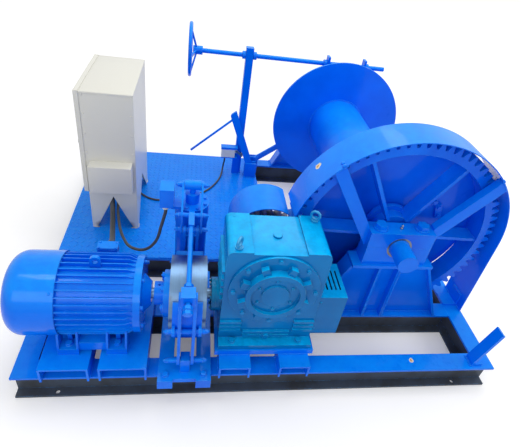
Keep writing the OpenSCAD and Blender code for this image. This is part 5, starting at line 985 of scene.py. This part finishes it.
# %% [markdown]
# ## The brake's spring
# The spring is wound from round wire. In the solids it has six sides. Here it is a spiral with a
# round section, and its last turn at each end lies flat, as on a ground spring.

# %% Wound spring
SPRING_FOOT, SPRING_RADIUS, WIRE, TURNS = 96, 14, 2.4, 12
LEAN = math.atan2(15, 195)


def spring_line():
    """Centreline of the wire, down from the upper pin, with flattened ends."""
    points = []
    for k in range(TURNS * 24 + 1):
        share = k / (TURNS * 24)
        eased = share + 0.03 * math.sin(TURN * share)
        a = TURN * TURNS * share
        local = Vector((SPRING_RADIUS * math.cos(a), SPRING_RADIUS * math.sin(a),
                        WIRE - SPRING_FOOT + (SPRING_FOOT - 2 * WIRE) * eased - 26))
        points.append(Vector((BRAKE_X, *PIN_BELOW)) + Matrix.Rotation(LEAN, 3, "X") @ local)
    return points


coil_tree, k_in, k_out = tree_of("wound wire", [("Wire", 0.0024), ("Sides", 12)])
coil_line = node(coil_tree, "GeometryNodeMeshToCurve", {"Mesh": k_in["Geometry"]}).outputs[0]
section = node(coil_tree, "GeometryNodeCurvePrimitiveCircle",
               {"Resolution": k_in["Sides"], "Radius": k_in["Wire"]}).outputs[0]
wire_mesh = node(coil_tree, "GeometryNodeCurveToMesh",
                 {"Curve": coil_line, "Profile Curve": section, "Fill Caps": True}).outputs[0]
close_tree(coil_tree, k_in, k_out, wire_mesh)
spring = grow("spring_wire", strokes([spring_line()]), coil_tree, {"Wire": WIRE * MM, "Sides": 12},
              cast_blue, "rear_arm")
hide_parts("brake_spring")


# %% [markdown]
# ## Small fittings
# These are the pieces that a fitter adds last: grease nipples on the bearing caps, plugs and a
# breather on the gearbox, glands where the cables enter, and the lid of the junction box.

# %% Gearbox and bearing fittings
def gearbox_fittings(bm):
    add_turned(bm, [(0, 0), (17, 0), (17, 6), (15.5, 7.5), (0, 7.5)], (PINION_X, -650, 692), UP)
    add_turned(bm, [(0, -2), (20, -2), (20, 8), (13, 8), (13, 16), (11, 17.5), (0, 17.5)],
               (PINION_X, -755, 262), FRONT)
    plug = [(0, -0.5), (5.5, -0.5), (5.5, 0.6), (4, 0.9), (0, 0.2)]
    for x in (PINION_X - 155, PINION_X + 155):
        for y in (-735, -552):
            add_turned(bm, plug, (x, y, 700), UP, 16)


def nipples(bm):
    for y in BEARINGS_Y:
        add_turned(bm, [(0, -3), (7, -3), (7, 5), (4, 6), (4, 11), (5.2, 13), (5.2, 16), (3, 19), (0, 19)],
                   (DRUM_X, y, 642), UP, 16)


shaped("gearbox_plugs", gearbox_cyan, "frame", gearbox_fittings)
shaped("grease_nipples", rod_steel, "frame", nipples)


# %% Glands
def hollow(profile, origin, axis):
    """Draws a turned ring. Its profile ends where it starts, and the doubled rim is merged."""
    def build(bm):
        add_turned(bm, profile, origin, axis, 28)
        bmesh.ops.remove_doubles(bm, verts=bm.verts, dist=1e-6)
    return build


def gland(origin, axis, bore):
    """A gland's body and nut round a cable of that radius."""
    return hollow([(bore, 0), (bore + 7, 0), (bore + 7, 5), (bore + 5, 6), (bore + 5, 14), (bore + 3, 18),
                   (bore, 18), (bore, 0)], origin, axis)


SLEEVE = [(11.1, -0.5), (12.2, -0.5), (12.2, 18), (13.4, 18), (13.4, 25.4), (11.1, 25.4), (11.1, -0.5)]
shaped("panel_gland_motor", black_fan, "frame", gland(PANEL_MOTOR, DOWN, 13.2))
shaped("panel_gland_thruster", black_fan, "frame", gland(PANEL_THRUSTER, DOWN, 7.2))
shaped("panel_gland_switch", black_fan, "frame", gland(PANEL_SWITCH, DOWN, 5.7))
shaped("motor_gland", motor_blue, "frame", gland(MOTOR_ENTRY, BACK, 13.2))
shaped("thruster_gland", switch_shell, "thruster", hollow(SLEEVE, THRUSTER_ENTRY, UP))

# %% Junction box lid and panel trim
shaped("junction_lid", panel_paint, "frame", block((-855, -30.5, 400), (-655, -24, 548), 1.6))
shaped("panel_roof_edge", panel_paint, "frame", block((-875.5, 30.6, 884), (-641.8, 509, 894.4), 2.2))


# %% [markdown]
# ## The cables' finish
# The lead to the thruster ends on a body that tilts by a degree. It is turned into a mesh that
# rides on no body, while the other two stay curves on the frame.

# %% Finishing the cables
def centreline(piece):
    """Points along a curve, without its bevel."""
    thickness = piece.data.bevel_depth
    piece.data.bevel_depth = 0
    bpy.context.view_layer.update()
    line = evaluated(piece)
    points = [v.co.copy() for v in line.vertices]
    bpy.data.meshes.remove(line)
    piece.data.bevel_depth = thickness
    bpy.context.view_layer.update()
    return points


thruster_path = centreline(thruster_lead)
thruster_tube = linked("thruster_lead_tube", evaluated(thruster_lead))
bpy.data.objects.remove(thruster_lead)
wear(thruster_tube, cable_rubber)
thruster_tube.data.shade_smooth()
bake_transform(thruster_tube)
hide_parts("thruster_cable")
settle(motor_lead, cable_rubber, "frame")
settle(switch_lead, cable_rubber, "frame")
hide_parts("motor_cable")
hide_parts("switch_cable")


# %% [markdown]
# ## Removing the templates
# The templates of the heads are removed, and the scene is brought up to date. The dressed winch
# has to stay in the solids' box.

# %% Removing the templates
for made in HEADS.values():
    bpy.data.objects.remove(made)
bpy.context.view_layer.update()
